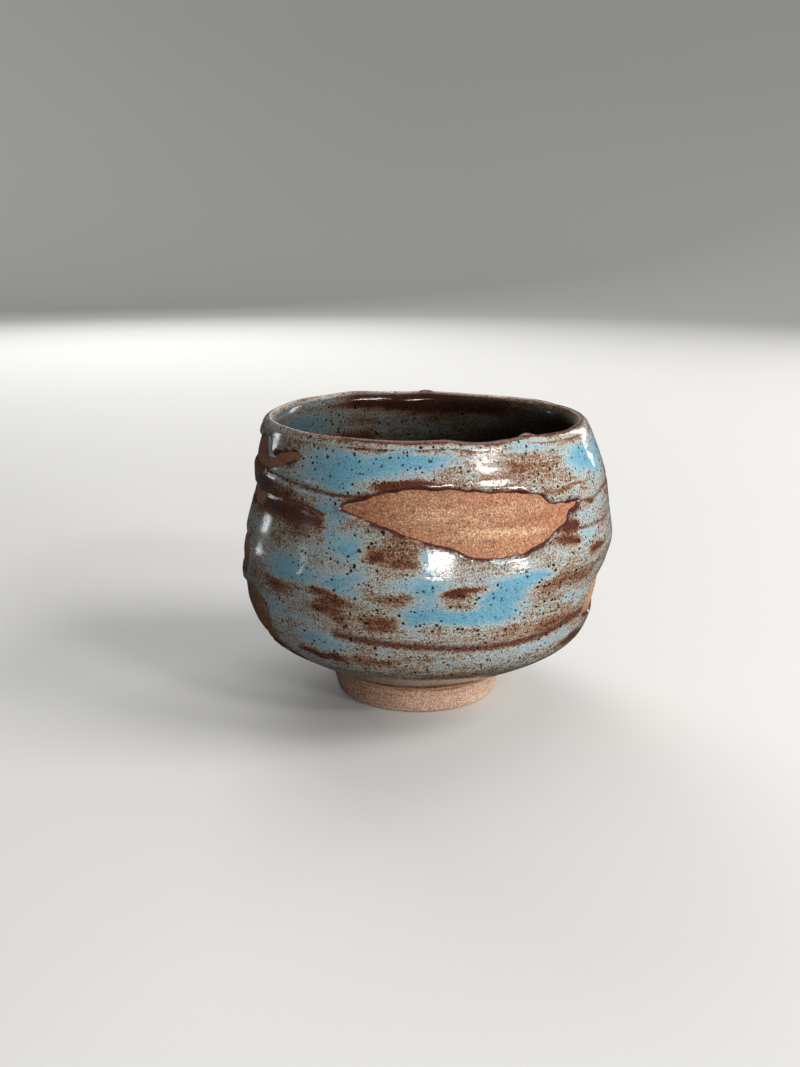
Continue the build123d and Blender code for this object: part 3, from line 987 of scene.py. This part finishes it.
class BOWL_OT_clay(BowlOperator, bpy.types.Operator):
    """Throw the clay wall, lip and floor"""

    bl_idname = "bowl.clay"
    bl_label = "Clay Bowl"

    def execute(self, context):
        sizes = self.sizes
        colours = context.scene.bowl_clay
        around = CLAY_COLUMNS
        azimuth = column_azimuths(around)
        coat = sizes.coat / MM
        arc = np.linspace(0, WALL_LENGTH, 112)
        heights = np.interp(arc, ARC_LENGTHS, ARC_HEIGHTS)
        grid_a, grid_h = np.meshgrid(azimuth, heights)
        outside = on_wall(grid_a, grid_h, coat)
        # Fine wiping marks where the clay shows
        stretched = outside * np.array([1, 1, 4])
        wiped = 0.06 * soft_noise(stretched, 5, 21) + 0.04 * soft_noise(outside, 2, 22)
        outside[..., :2] *= (1 + wiped / MEAN_RADIUS)[..., None]
        under = []
        for radius, level in ((0.5, 7.25), (10.0, 7.2), (17.5, 7.0), (24.6, CLAY_LOW.z), (25.0, 7.6)):
            wave = 0.05 * np.sin(5 * np.radians(azimuth) + radius) * (radius < 18)
            under.append(ring(azimuth, radius, level + wave))
        lip = lip_rows(azimuth, coat, sizes, 11)[1:-1]
        inside = inside_rows(azimuth, -coat, sizes, 40, 0.985)
        rows = np.concatenate([np.array(under), outside, lip, inside])
        hidden = np.zeros(len(rows), bool)
        hidden[len(under) + len(outside) :] = True
        points, faces, uv = lathe(rows, False, levels_of(rows, hidden), 2)
        wall = slice(len(under), len(under) + len(outside))
        field = np.full(rows.shape[:2], BURIED)
        field[wall] = patch_field(grid_a, grid_h, outside)
        fringe = np.concatenate([field.ravel(), [BURIED, BURIED]])
        middling = 0.45
        tones_and_side_shade = np.full(rows.shape[:2], middling)
        # These tones carry painted shade on the bowl's left and painted light on its right
        tones_and_side_shade[wall] += pools(grid_a, grid_h, CLAY_TONES_AND_SIDE_SHADE, outside)
        tone = np.concatenate([tones_and_side_shade.ravel(), [middling, middling]])
        material = clay_material("Bare wiped clay", colours.body, colours.toasted_and_shaded, colours.sand, 1.0, 0.95)
        fields = {"fringe": fringe, "tone": tone}
        finish_mesh("clay_bowl_body", points, faces, uv, fields, material, "clay_bowl")
        return {"FINISHED"}


class BOWL_OT_foot(BowlOperator, bpy.types.Operator):
    """Turn the bare foot ring"""

    bl_idname = "bowl.foot"
    bl_label = "Foot Ring"

    def execute(self, context):
        colours = context.scene.bowl_clay
        azimuth = column_azimuths(CLAY_COLUMNS)
        turn = np.radians(azimuth)
        top_outer = FOOT_HIGH.x
        tall = FOOT_HIGH.z
        profile = [
            (18.4, 6.9), (18.5, 4.5), (18.5, 2.2), (18.55, 0.9), (18.8, 0.35), (19.3, 0.05), (20.2, 0.0),
            (21.4, 0.0), (22.3, 0.06), (22.85, 0.32), (23.15, 0.8), (23.4, 1.7), (23.85, 3.3), (24.3, 4.9),
            (24.7, 6.2), (top_outer, tall), (top_outer - 0.1, tall + 0.35), (22.0, tall + 0.3),
            (19.0, tall + 0.2),
        ]
        closed = curved_outline(profile, True, 4)
        rows = []
        for radius, level in closed:
            wobble = 0.10 * np.sin(2 * turn + 0.9) + 0.05 * np.sin(5 * turn)
            lines = 0.05 * math.sin(level * 4.4) * (radius > 22.6)
            dents = ring(azimuth, radius, level * 1.6)
            lumps = 0.12 * soft_noise(dents, 3.0, 31) + 0.05 * soft_noise(dents, 1.3, 32)
            away = smoothstep(0, 1.0, level)
            wide = radius + (wobble + lines + lumps) * away * (1 if radius > 21 else -1)
            rows.append(ring(azimuth, wide, level))
        rows = np.array(rows)
        points, faces, uv = lathe(rows, True, levels_of(rows), 2)
        material = clay_material(
            "Bare foot clay", colours.foot, colours.foot_dark_and_shade, colours.foot_sand, 1.15, 0.3
        )
        fringe = np.full(len(points), BURIED)
        # Painted light and shade: the foot's clay is paler on its right, +X side, where the window light
        # falls, and darker on its left
        painted_side_light = 0.34 * np.sin(np.arctan2(points[:, 0], -points[:, 1]))
        tone = 0.5 + painted_side_light + 0.12 * soft_noise(points, 7, 33)
        fields = {"fringe": fringe, "tone": tone}
        finish_mesh("foot_ring_clay", points, faces, uv, fields, material, "foot_ring")
        return {"FINISHED"}


def snap_to_edge(column, row, field):
    """Moves grid points onto the line where the field is 0, so that the kept faces end exactly on it."""
    rows = len(field)
    best = np.full(field.shape, np.inf)
    move = np.zeros(field.shape + (2,))
    for up, across in ((1, 0), (0, 1), (1, 1)):
        lower = field[: rows - up]
        upper = np.roll(field, -across, axis=1)[up:]
        cross = (lower > 0) != (upper > 0)
        share = np.where(cross, lower / np.where(cross, lower - upper, 1), 0)
        # The nearer end of each crossed edge moves to the crossing: the lower end, then the upper one
        for near, size, sign in ((cross & (share <= 0.5), share, 1), (cross & (share > 0.5), 1 - share, -1)):
            reach = np.full(field.shape, np.inf)
            shift = np.zeros(field.shape + (2,))
            start = 0 if sign == 1 else up
            reach[start : start + len(near)] = np.where(near, size, np.inf)
            step = np.stack([size * across, size * up], -1) * sign
            shift[start : start + len(near)] = step * near[..., None]
            if sign == -1:
                reach = np.roll(reach, across, axis=1)
                shift = np.roll(shift, across, axis=1)
            better = reach < best
            best[better] = reach[better]
            move[better] = shift[better]
    snapped = np.isfinite(best)
    return column + move[..., 0], row + move[..., 1], np.where(snapped, 0.0, field)


class BOWL_OT_outside_glaze(BowlOperator, bpy.types.Operator):
    """Glaze the outside, leaving the bare patches open"""

    bl_idname = "bowl.outside_glaze"
    bl_label = "Outside Glaze"

    def execute(self, context):
        sizes = self.sizes
        coat, bead = sizes.coat / MM, sizes.edge_bead / MM
        around, count = sizes.around, sizes.rows
        sunk = 0.06  # how far the coat's edges and back go into the clay
        arc = np.linspace(2.0, WALL_LENGTH, count)
        base_column, base_row = np.meshgrid(np.arange(around, dtype=float), np.arange(count, dtype=float))

        def place(column, row):
            azimuth = SEAM_AZIMUTH - 360 + 360 * column / around
            height = np.interp(np.interp(row, np.arange(count), arc), ARC_LENGTHS, ARC_HEIGHTS)
            return azimuth, height

        azimuth, height = place(base_column, base_row)
        rough = wall_point(azimuth, height, 0.0)
        field = patch_field(azimuth, height, rough)
        column, row, field = snap_to_edge(base_column, base_row, field)
        azimuth, height = place(column, row)
        point, normal, _ = wall_frame(azimuth, height)
        rise = np.sqrt(np.clip(1 - (1 - np.clip(field / bead, 0, 1)) ** 2, 0, 1))
        lumps = 0.10 * soft_noise(point, 9, 41) + 0.05 * soft_noise(point, 4, 42)
        swell = 0.05 * np.exp(-(((field - 1.2) / 0.7) ** 2))
        ends = smoothstep(0, 6, np.minimum(row, count - 1 - row))
        thick = (coat + (lumps + swell) * ends) * rise - sunk * (1 - rise)
        outer = point + normal * (thick - coat)[..., None]
        skin = point - normal * (coat + sunk)
        # Rows 0 and last, turned down to the clay, close the ends of the coat
        points = np.concatenate([skin[:1], outer, skin[-1:]])
        values = np.concatenate([field[:1], field, field[-1:]])
        column = np.concatenate([column[:1], column, column[-1:]])
        row = np.concatenate([row[:1] - 1, row, row[-1:] + 1])
        level = (row + 1) / (count + 1)
        faces, uv = [], []
        rows = len(points)
        flat_column, flat_level, flat_value = column.ravel(), level.ravel(), values.ravel()
        for i in range(rows - 1):
            for j in range(around):
                n = (j + 1) % around
                corners = (i * around + j, i * around + n, (i + 1) * around + n, (i + 1) * around + j)
                inside = [flat_value[c] for c in corners]
                if min(inside) > 0:
                    shapes = [corners]
                elif max(inside) <= 0:
                    continue
                else:
                    pair = [corners[:3], (corners[0],) + corners[2:]]
                    shapes = [
                        half for half in pair
                        if min(flat_value[c] for c in half) >= 0 and max(flat_value[c] for c in half) > 0
                    ]
                for shape in shapes:
                    faces.append(shape)
                    spread = [flat_column[c] + (around if c % around == 0 and n == 0 else 0) for c in shape]
                    middle = sum(spread) / len(spread)
                    strip = 0 if middle < around / 2 else 1
                    for c, s in zip(shape, spread):
                        u = min(max((s - strip * around / 2) / (around / 2), 0), 1)
                        v = (strip + 0.004 + 0.95 * flat_level[c]) / 2
                        uv.append((0.002 + 0.996 * u, v))
        flat = points.reshape(-1, 3)
        used = sorted({c for f in faces for c in f})
        number = {c: k for k, c in enumerate(used)}
        extra, extra_faces, extra_uv = self.back_of_coat(
            faces, flat_column, row.ravel(), skin.reshape(-1, 3), values
        )
        kept = flat[used]
        all_points = np.vstack([kept, extra])
        all_faces = [tuple(number[c] for c in f) for f in faces]
        for face in extra_faces:
            all_faces.append(tuple(number[c] if c >= 0 else len(used) - c - 1 for c in face))
        uv += extra_uv
        pool = EVEN_COAT + pools(azimuth, height, POOLS, outer)
        lip_away = WALL_LENGTH - along_wall(height)
        pool = pool - lip_fade(lip_away, outer) * lip_rust(azimuth)
        fields = {"pool": pool, "rust": groove_rust(azimuth, height), "fringe": field}
        packed = {}
        for key, grid in fields.items():
            tall = np.concatenate([grid[:1], grid, grid[-1:]]).ravel()
            packed[key] = np.concatenate([tall[used], np.full(len(extra), 0.5)])
        material = glaze_material("Blue broken glaze")
        finish_mesh("outside_glaze_coat", all_points, all_faces, uv, packed, material, "outside_glaze")
        return {"FINISHED"}

    def back_of_coat(self, faces, columns, rows_of, skin, grid_values):
        """Coarser faces that close the coat against the clay. New points have negative numbers."""
        rows, around = grid_values.shape
        edges = {}
        for face in faces:
            for a, b in zip(face, face[1:] + face[:1]):
                key = (min(a, b), max(a, b))
                edges[key] = edges.get(key, 0) + 1
        border = [key for key, times in edges.items() if times == 1]
        ids, places, index = [], [], {}

        def note(identity, x, y):
            key = (identity, round(x, 6))
            if key not in index:
                index[key] = len(places)
                ids.append(identity)
                places.append(Vector((x, y)))
            return index[key]

        lines = []
        for a, b in border:
            xa, xb = columns[a], columns[b]
            if abs(xa - xb) > around / 2:
                xa, xb = (xa + around, xb) if xa < xb else (xa, xb + around)
            lines.append((note(a, xa, rows_of[a]), note(b, xb, rows_of[b])))
        for end in (0, (rows - 1) * around):
            note(end, float(around), rows_of[end])
        step = 5
        new_points = []
        for i in range(step, rows - step, step):
            seam = None
            for j in range(0, around + 1, step):
                window = grid_values[i - 3 : i + 4, np.arange(j - 3, j + 4) % around]
                if window.min() < 2.0:
                    continue
                if j == around and seam is not None:
                    identity = seam
                else:
                    new_points.append(skin[(i - 1) * around + j % around])
                    identity = -len(new_points)
                    seam = identity if j == 0 else seam
                note(identity, float(j), float(i - 1))
        result = delaunay_2d_cdt(places, lines, [], 0, 1e-5)
        verts, _, triangles, origins = result[:4]
        identity_of = [ids[o[0]] for o in origins]
        out_faces, out_uv = [], []
        for triangle in triangles:
            x = sum(verts[k].x for k in triangle) / 3
            y = sum(verts[k].y for k in triangle) / 3 + 1
            j0, i0 = int(x) % around, min(max(int(y), 0), rows - 2)
            fx, fy = x - int(x), y - i0
            j1 = (j0 + 1) % around
            low = grid_values[i0, j0] * (1 - fx) * (1 - fy) + grid_values[i0, j1] * fx * (1 - fy)
            high = grid_values[i0 + 1, j0] * (1 - fx) * fy + grid_values[i0 + 1, j1] * fx * fy
            value = low + high
            names = [identity_of[k] for k in triangle]
            on_border = all(name >= 0 for name in names)
            if value <= 0 and on_border:
                continue
            if len(set(names)) < 3:
                continue
            out_faces.append(tuple(names))
            for corner in (verts[k] for k in triangle):
                out_uv.append((0.002 + 0.99 * corner.x / around, 0.99 + 0.008 * corner.y / rows))
        return np.array(new_points), out_faces, out_uv


class BOWL_OT_glaze_details(BowlOperator, bpy.types.Operator):
    """Add the glaze roll above the foot and the run under the lip"""

    bl_idname = "bowl.glaze_details"
    bl_label = "Roll and Run"

    def execute(self, context):
        sizes = self.sizes
        coat = sizes.coat / MM
        around = GLAZE_COLUMNS
        azimuth = column_azimuths(around)
        low = np.full(azimuth.shape, WALL_HEIGHTS[0])
        point, normal, up = wall_frame(azimuth, low)
        seat = point - normal * coat
        circle = ring(azimuth, 30, 0)
        drop = 0.35 * soft_noise(circle, 9, 61) + 0.18 * soft_noise(circle, 3.5, 62)
        full = 1 + 0.25 * soft_noise(circle, 6, 63)
        rows = []
        for angle in np.linspace(0, 2 * math.pi, 22, endpoint=False):
            along = 1.25 * math.cos(angle)
            high = 1.05 * math.sin(angle)
            middle = 1.05 + 0.35 * drop
            level = (middle + along * (1 + 0.3 * drop))[:, None]
            rows.append(seat + up * level + normal * (high * full + 0.1)[:, None])
        rows = np.array(rows)
        points, faces, uv = lathe(rows, True, levels_of(rows), 2)
        fields = glaze_fields(0.34 + 0.25 * soft_noise(points * np.array([1, 1, 3]), 6, 64))
        material = glaze_material("Dark glaze roll", (0.42, 0.40, 0.38, 1), 0.5)
        finish_mesh("foot_glaze_roll", points, faces, uv, fields, material, "foot_line_roll")
        self.run(coat)
        return {"FINISHED"}

    def run(self, coat):
        """A finger of glaze with a swollen tip, lying on the bare clay."""
        course = [(-65.8, 77.4), (-65.2, 76.0), (-63.6, 74.4), (-61.6, 73.0), (-60.6, 72.0)]
        route = curved_outline(course, False, 6)
        share = np.linspace(0, 1, len(route))
        wide = np.interp(share, [0, 0.35, 0.75, 0.93, 1], [2.5, 1.9, 1.35, 1.15, 0.12])
        tall = np.interp(share, [0, 0.4, 0.85, 0.96, 1], [0.75, 0.85, 1.15, 0.9, 0.1])
        rows = []
        for (at, level), half, high in zip(route, wide, tall):
            hoop = []
            for angle in np.linspace(0, 2 * math.pi, 20, endpoint=False):
                across = half * math.cos(angle)
                azimuth = np.array([at + math.degrees(across / 46.0)])
                point, normal, _ = wall_frame(azimuth, np.array([level]))
                lift = high * max(math.sin(angle), 0) + 0.12 * min(math.sin(angle), 0)
                hoop.append(point[0] + normal[0] * (lift - coat))
            rows.append(hoop)
        rows = np.array(rows)
        points, faces, uv = lathe(rows, False, levels_of(rows), 1)
        fields = glaze_fields(np.full(len(points), 0.62))
        material = glaze_material("Glaze run", (0.86, 0.9, 0.9, 1), 0.6)
        finish_mesh("glaze_run_drop", points, faces, uv, fields, material, "glaze_run")


class BOWL_OT_lip(BowlOperator, bpy.types.Operator):
    """Cap the lip with glaze and add its beads"""

    bl_idname = "bowl.lip"
    bl_label = "Lip Glaze"

    def execute(self, context):
        sizes = self.sizes
        whole = (sizes.lip_half + sizes.coat) / MM
        around = sizes.around
        azimuth = column_azimuths(around)
        outer = lip_rows(azimuth, 0.0, sizes, LIP_STEPS)
        inner = lip_rows(azimuth, sizes.coat / MM + 0.08, sizes, 9)[::-1]
        lumps = 0.06 * soft_noise(outer, 5, 71) + 0.04 * soft_noise(outer, 2.2, 72)
        centre, _, _ = lip_frame(azimuth, whole)
        away = outer - centre
        ease = np.sin(np.linspace(0, math.pi, LIP_STEPS))[:, None]
        outer = centre + away * (1 + lumps * ease / whole)[..., None]
        rows = np.concatenate([outer, inner])
        hidden = np.zeros(len(rows), bool)
        hidden[LIP_STEPS:] = True
        points, faces, uv = lathe(rows, True, levels_of(rows, hidden), 4)
        angle = np.linspace(0, 180, LIP_STEPS)[:, None] + np.zeros(around)
        grid_a = np.tile(azimuth, (LIP_STEPS, 1))
        fields = self.fields(grid_a, angle, outer, len(inner) * around)
        material = glaze_material("Lip glaze", INSIDE_PAINTED_SHADE, 0.8, lip=True)
        finish_mesh("lip_glaze_cap", points, faces, uv, fields, material, "lip_glaze")
        self.beads(whole, material)
        return {"FINISHED"}

    def fields(self, azimuth, angle, points, spare):
        """Cream along the crest, partly a painted highlight; rust outside it, darkened partly as painted
        shade; maroon along the far inside; and painted shade over the whole inside.
        """
        side = np.cos(np.radians(angle))
        ragged = 0.5 * soft_noise(points, 1.6, 73) + 0.5 * soft_noise(points, 5, 74)
        dashes = soft_noise(points * np.array([1, 1, 0.3]), 0.9, 75)
        rusty = lip_rust(azimuth)
        base = 0.47 + pools(azimuth, np.full(azimuth.shape, 77.4), POOLS, points) * 0.6
        # Outside the crest the lip's rust is darkened, partly as painted shade under the crest
        low = 0.86 - 0.25 * smoothstep(40, 65, turned(azimuth, 0)) + 0.10 * ragged + 0.08 * dashes
        rust_and_shade_band = smoothstep(low + 0.08, low - 0.10, side) * rusty
        pool = base * (1 - rust_and_shade_band) + (-0.02 + 0.07 * ragged + 0.10 * dashes) * rust_and_shade_band
        inside = smoothstep(-0.15, -0.75, side)
        inside_base = 0.42 + pools(azimuth, np.full(azimuth.shape, 77.6), INSIDE_POOLS, points)
        pool = pool * (1 - inside) + inside_base * inside
        # The crest's painted highlight is strongest at the front left, round azimuth -45
        pale = 0.45 + 0.6 * np.exp(-((turned(azimuth, -45) / 55) ** 2))
        crest = np.exp(-(((side - 0.06) / 0.15) ** 2)) * (1.0 + 0.4 * ragged) * pale
        # Painted shade over the lip's inside, fading out towards the crest
        lip_painted_shade = smoothstep(-0.15, -0.7, side)
        blank = np.zeros(spare)
        return {
            **glaze_fields(np.concatenate([pool.ravel(), blank + 0.4])),
            "crest": np.concatenate([crest.ravel(), blank]),
            "lip_painted_shade": np.concatenate([lip_painted_shade.ravel(), blank]),
        }

    def beads(self, whole, material):
        """Low rounded beads that stand on the lip."""
        build_points, build_faces, build_uv = [], [], []
        for at, long, high in ((35.0, 4.0, 0.50), (178.0, 3.6, 0.35)):
            across = np.linspace(-1, 1, 31)
            rows = []
            for share in across:
                swell = (1 - share * share) ** 1.5
                azimuth = np.array([at + math.degrees(share * long / 42.0)])
                centre, out, up = lip_frame(azimuth, whole)
                hoop = []
                for angle in np.linspace(0, 2 * math.pi, 24, endpoint=False):
                    beside = 1.3 * (0.25 + 0.75 * swell) * math.cos(angle)
                    side = LIP_CREST * whole + beside
                    top = whole - 0.3 - 0.30 * beside**2
                    lift = (0.3 + high) * swell if math.sin(angle) > 0 else 0.25
                    hoop.append(centre[0] + out[0] * side + up[0] * (top + lift * math.sin(angle)))
                rows.append(hoop)
            points, faces, uv = lathe(np.array(rows), False, levels_of(np.array(rows)), 1)
            start = sum(len(p) for p in build_points)
            build_points.append(points)
            build_faces += [tuple(c + start for c in f) for f in faces]
            build_uv += uv
        points = np.vstack(build_points)
        fields = {
            **glaze_fields(0.14 + 0.12 * soft_noise(points, 1.5, 75)),
            "crest": np.zeros(len(points)),
            # A little painted shade on the beads as well
            "lip_painted_shade": np.full(len(points), 0.2),
        }
        finish_mesh("lip_glaze_beads", points, build_faces, build_uv, fields, material, "lip_beads")


class BOWL_OT_inside_glaze(BowlOperator, bpy.types.Operator):
    """Glaze the inside wall and floor"""

    bl_idname = "bowl.inside_glaze"
    bl_label = "Inside Glaze"

    def execute(self, context):
        sizes = self.sizes
        coat = sizes.coat / MM
        around = GLAZE_COLUMNS
        azimuth = column_azimuths(around)
        face = inside_rows(azimuth, 0.0, sizes, 120, 0.995)
        back = inside_rows(azimuth, -coat - 0.05, sizes, 26, 0.995)[::-1]
        rows = np.concatenate([back, face])
        hidden = np.zeros(len(rows), bool)
        hidden[: len(back)] = True
        points, faces, uv = lathe(rows, False, levels_of(rows, hidden), 2)
        grid_a = np.tile(azimuth, (len(face), 1))
        pool = 0.38 + pools(grid_a, face[..., 2], INSIDE_POOLS, face)
        unseen = np.full(len(back) * around, 0.5)
        fields = glaze_fields(np.concatenate([unseen, pool.ravel(), [0.5, float(pool[-1].mean())]]))
        # Painted shade darkens the whole inside coat
        material = glaze_material("Inside glaze", INSIDE_PAINTED_SHADE, 0.6, 0.6)
        finish_mesh("inside_glaze_coat", points, faces, uv, fields, material, "inside_glaze")
        return {"FINISHED"}


class BOWL_OT_stage(BowlOperator, bpy.types.Operator):
    """Set up the pale sweep, the lights and the camera"""

    bl_idname = "bowl.stage"
    bl_label = "Studio"

    def execute(self, context):
        settings = context.scene.bowl_studio
        scene = context.scene
        scene.view_settings.view_transform = "Standard"
        self.sweep(settings)
        self.lights(scene)
        self.camera(settings, scene)
        return {"FINISHED"}

    def sweep(self, settings):
        """Round floor that curves up into a wall, in metres."""
        flat, bend, top = 1.3, 0.6, 1.6
        profile = [(0.0, 0.0), (0.3, 0.0), (0.8, 0.0), (flat, 0.0)]
        for angle in np.linspace(0, math.pi / 2, 13)[1:]:
            profile.append((flat + bend * math.sin(angle), bend * (1 - math.cos(angle))))
        profile.append((flat + bend, top))
        around = 96
        points, faces = [], []
        for radius, level in profile:
            for j in range(around):
                turn = 2 * math.pi * j / around
                points.append((radius * math.cos(turn), radius * math.sin(turn), level))
        for i in range(len(profile) - 1):
            for j in range(around):
                n = (j + 1) % around
                faces.append((i * around + j, i * around + n, (i + 1) * around + n, (i + 1) * around + j))
        mesh = bpy.data.meshes.new("studio_sweep")
        mesh.from_pydata(points, [], faces)
        mesh.shade_smooth()
        mesh.materials.append(plain_material("Studio paper", settings.backdrop, 0.9))
        floor = bpy.data.objects.new("studio_sweep", mesh)
        bpy.context.scene.collection.objects.link(floor)
        # The paper throws no light back, so the glaze keeps its contrast
        floor.visible_diffuse = False
        floor.visible_glossy = False

    def lights(self, scene):
        """Window panes at the front right, soft lights round the back, and weak strips at the left. The
        room's own soft light makes no highlight on the glaze."""
        world = bpy.data.worlds.new("Studio surround")
        world.use_nodes = True
        world.node_tree.nodes["Background"].inputs["Color"].default_value = (0.93, 0.96, 1.0, 1)
        world.node_tree.nodes["Background"].inputs["Strength"].default_value = 0.055
        scene.world = world
        target = Vector((0, 0, 0.05))
        window, cool, neutral = (1.0, 0.99, 0.97), (0.90, 0.95, 1.0), (1.0, 1.0, 1.0)
        # Name, azimuth and rise in degrees, distance, width and height in metres, power in watts, and colour
        panes = [
            ("window_left_pane", 7, 7, 1.05, 0.24, 0.16, 4.6, window),
            ("window_right_pane", 51, 6, 1.05, 0.25, 0.16, 5.5, window),
            ("window_upper_pane", 44, 28, 1.05, 0.18, 0.10, 3.0, window),
            ("side_window", 136, 16, 1.1, 0.2, 0.5, 1.7, (1.0, 0.98, 0.96)),
            ("rear_soft", 165, 60, 1.2, 1.0, 0.9, 4.0, neutral),
            ("left_far_strip", -121, 3, 1.1, 0.09, 0.17, 0.42, cool),
            ("left_near_strip", -80, 3, 1.1, 0.06, 0.17, 0.12, cool),
            ("room_soft", 78, 34, 1.1, 0.5, 0.5, 10.0, (1.0, 0.98, 0.96)),
            ("rear_room_soft", 198, 28, 1.2, 0.6, 0.6, 7.0, neutral),
        ]
        for name, azimuth, rise, distance, wide, tall, power, colour in panes:
            turn, up = math.radians(azimuth), math.radians(rise)
            offset = Vector((math.sin(turn) * math.cos(up), -math.cos(turn) * math.cos(up), math.sin(up)))
            lamp = self.area_light(scene, name, wide, tall, power, colour)
            lamp.location = target + offset * distance
            lamp.rotation_euler = offset.to_track_quat("Z", "Y").to_euler()
            lamp.visible_glossy = "room_soft" not in name
        tilt = Vector((0, -1.0, 0.75)).to_track_quat("Z", "Y").to_matrix().to_4x4()
        for side in range(4):
            lamp = self.area_light(scene, f"backdrop_wash_{side + 1}", 2.2, 0.4, 4.2, neutral)
            turn = Matrix.Rotation(side * math.pi / 2, 4, "Z")
            lamp.matrix_world = turn @ Matrix.Translation((0, 0.75, 1.35)) @ tilt

    def area_light(self, scene, name, wide, tall, power, colour):
        """Rectangular light that the camera doesn't see."""
        light = bpy.data.lights.new(name, "AREA")
        light.shape = "RECTANGLE"
        light.size = wide
        light.size_y = tall
        light.energy = power
        light.color = colour
        lamp = bpy.data.objects.new(name, light)
        lamp.visible_camera = False
        scene.collection.objects.link(lamp)
        return lamp

    def camera(self, settings, scene):
        """Camera a little above the bowl, looking down at it."""
        pitch, roll = settings.pitch, settings.roll
        forward = Vector((0, math.cos(pitch), -math.sin(pitch)))
        level_up = Vector((0, math.sin(pitch), math.cos(pitch)))
        right = Vector((1, 0, 0)) * math.cos(roll) + level_up * math.sin(roll)
        up = level_up * math.cos(roll) - Vector((1, 0, 0)) * math.sin(roll)
        data = bpy.data.cameras.new("Camera")
        data.lens = settings.lens
        data.sensor_width = 36
        camera = bpy.data.objects.new("Camera", data)
        turn = Matrix((right, up, -forward)).transposed().to_4x4()
        place = Matrix.Translation((settings.aside, -settings.distance, settings.eye_height))
        camera.matrix_world = place @ turn
        scene.collection.objects.link(camera)
        scene.camera = camera


class BOWL_PT_panel(bpy.types.Panel):
    """Lists the bowl's settings and steps"""

    bl_idname = "BOWL_PT_panel"
    bl_label = "Tea Bowl"
    bl_space_type = "VIEW_3D"
    bl_region_type = "UI"
    bl_category = "Tea Bowl"

    def draw(self, context):
        for group in GROUPS:
            box = self.layout.box()
            settings = getattr(context.scene, group)
            for key in settings.bl_rna.properties.keys():
                if key not in ("rna_type", "name"):
                    box.prop(settings, key)
        for step in STEPS:
            self.layout.operator(step.bl_idname)


GROUPS = {
    "bowl_sizes": BowlSizes,
    "bowl_glaze": GlazeColours,
    "bowl_clay": ClayColours,
    "bowl_studio": StudioSettings,
}
STEPS = [
    BOWL_OT_stage,
    BOWL_OT_clay,
    BOWL_OT_foot,
    BOWL_OT_outside_glaze,
    BOWL_OT_glaze_details,
    BOWL_OT_lip,
    BOWL_OT_inside_glaze,
]


def register():
    for name, group in GROUPS.items():
        bpy.utils.register_class(group)
        setattr(bpy.types.Scene, name, bpy.props.PointerProperty(type=group))
    for step in STEPS:
        bpy.utils.register_class(step)
    bpy.utils.register_class(BOWL_PT_panel)


def unregister():
    bpy.utils.unregister_class(BOWL_PT_panel)
    for step in reversed(STEPS):
        bpy.utils.unregister_class(step)
    for name, group in reversed(GROUPS.items()):
        delattr(bpy.types.Scene, name)
        bpy.utils.unregister_class(group)


def main():
    register()
    for step in STEPS:
        area, action = step.bl_idname.split(".")
        getattr(getattr(bpy.ops, area), action)()


if __name__ == "__main__":
    main()
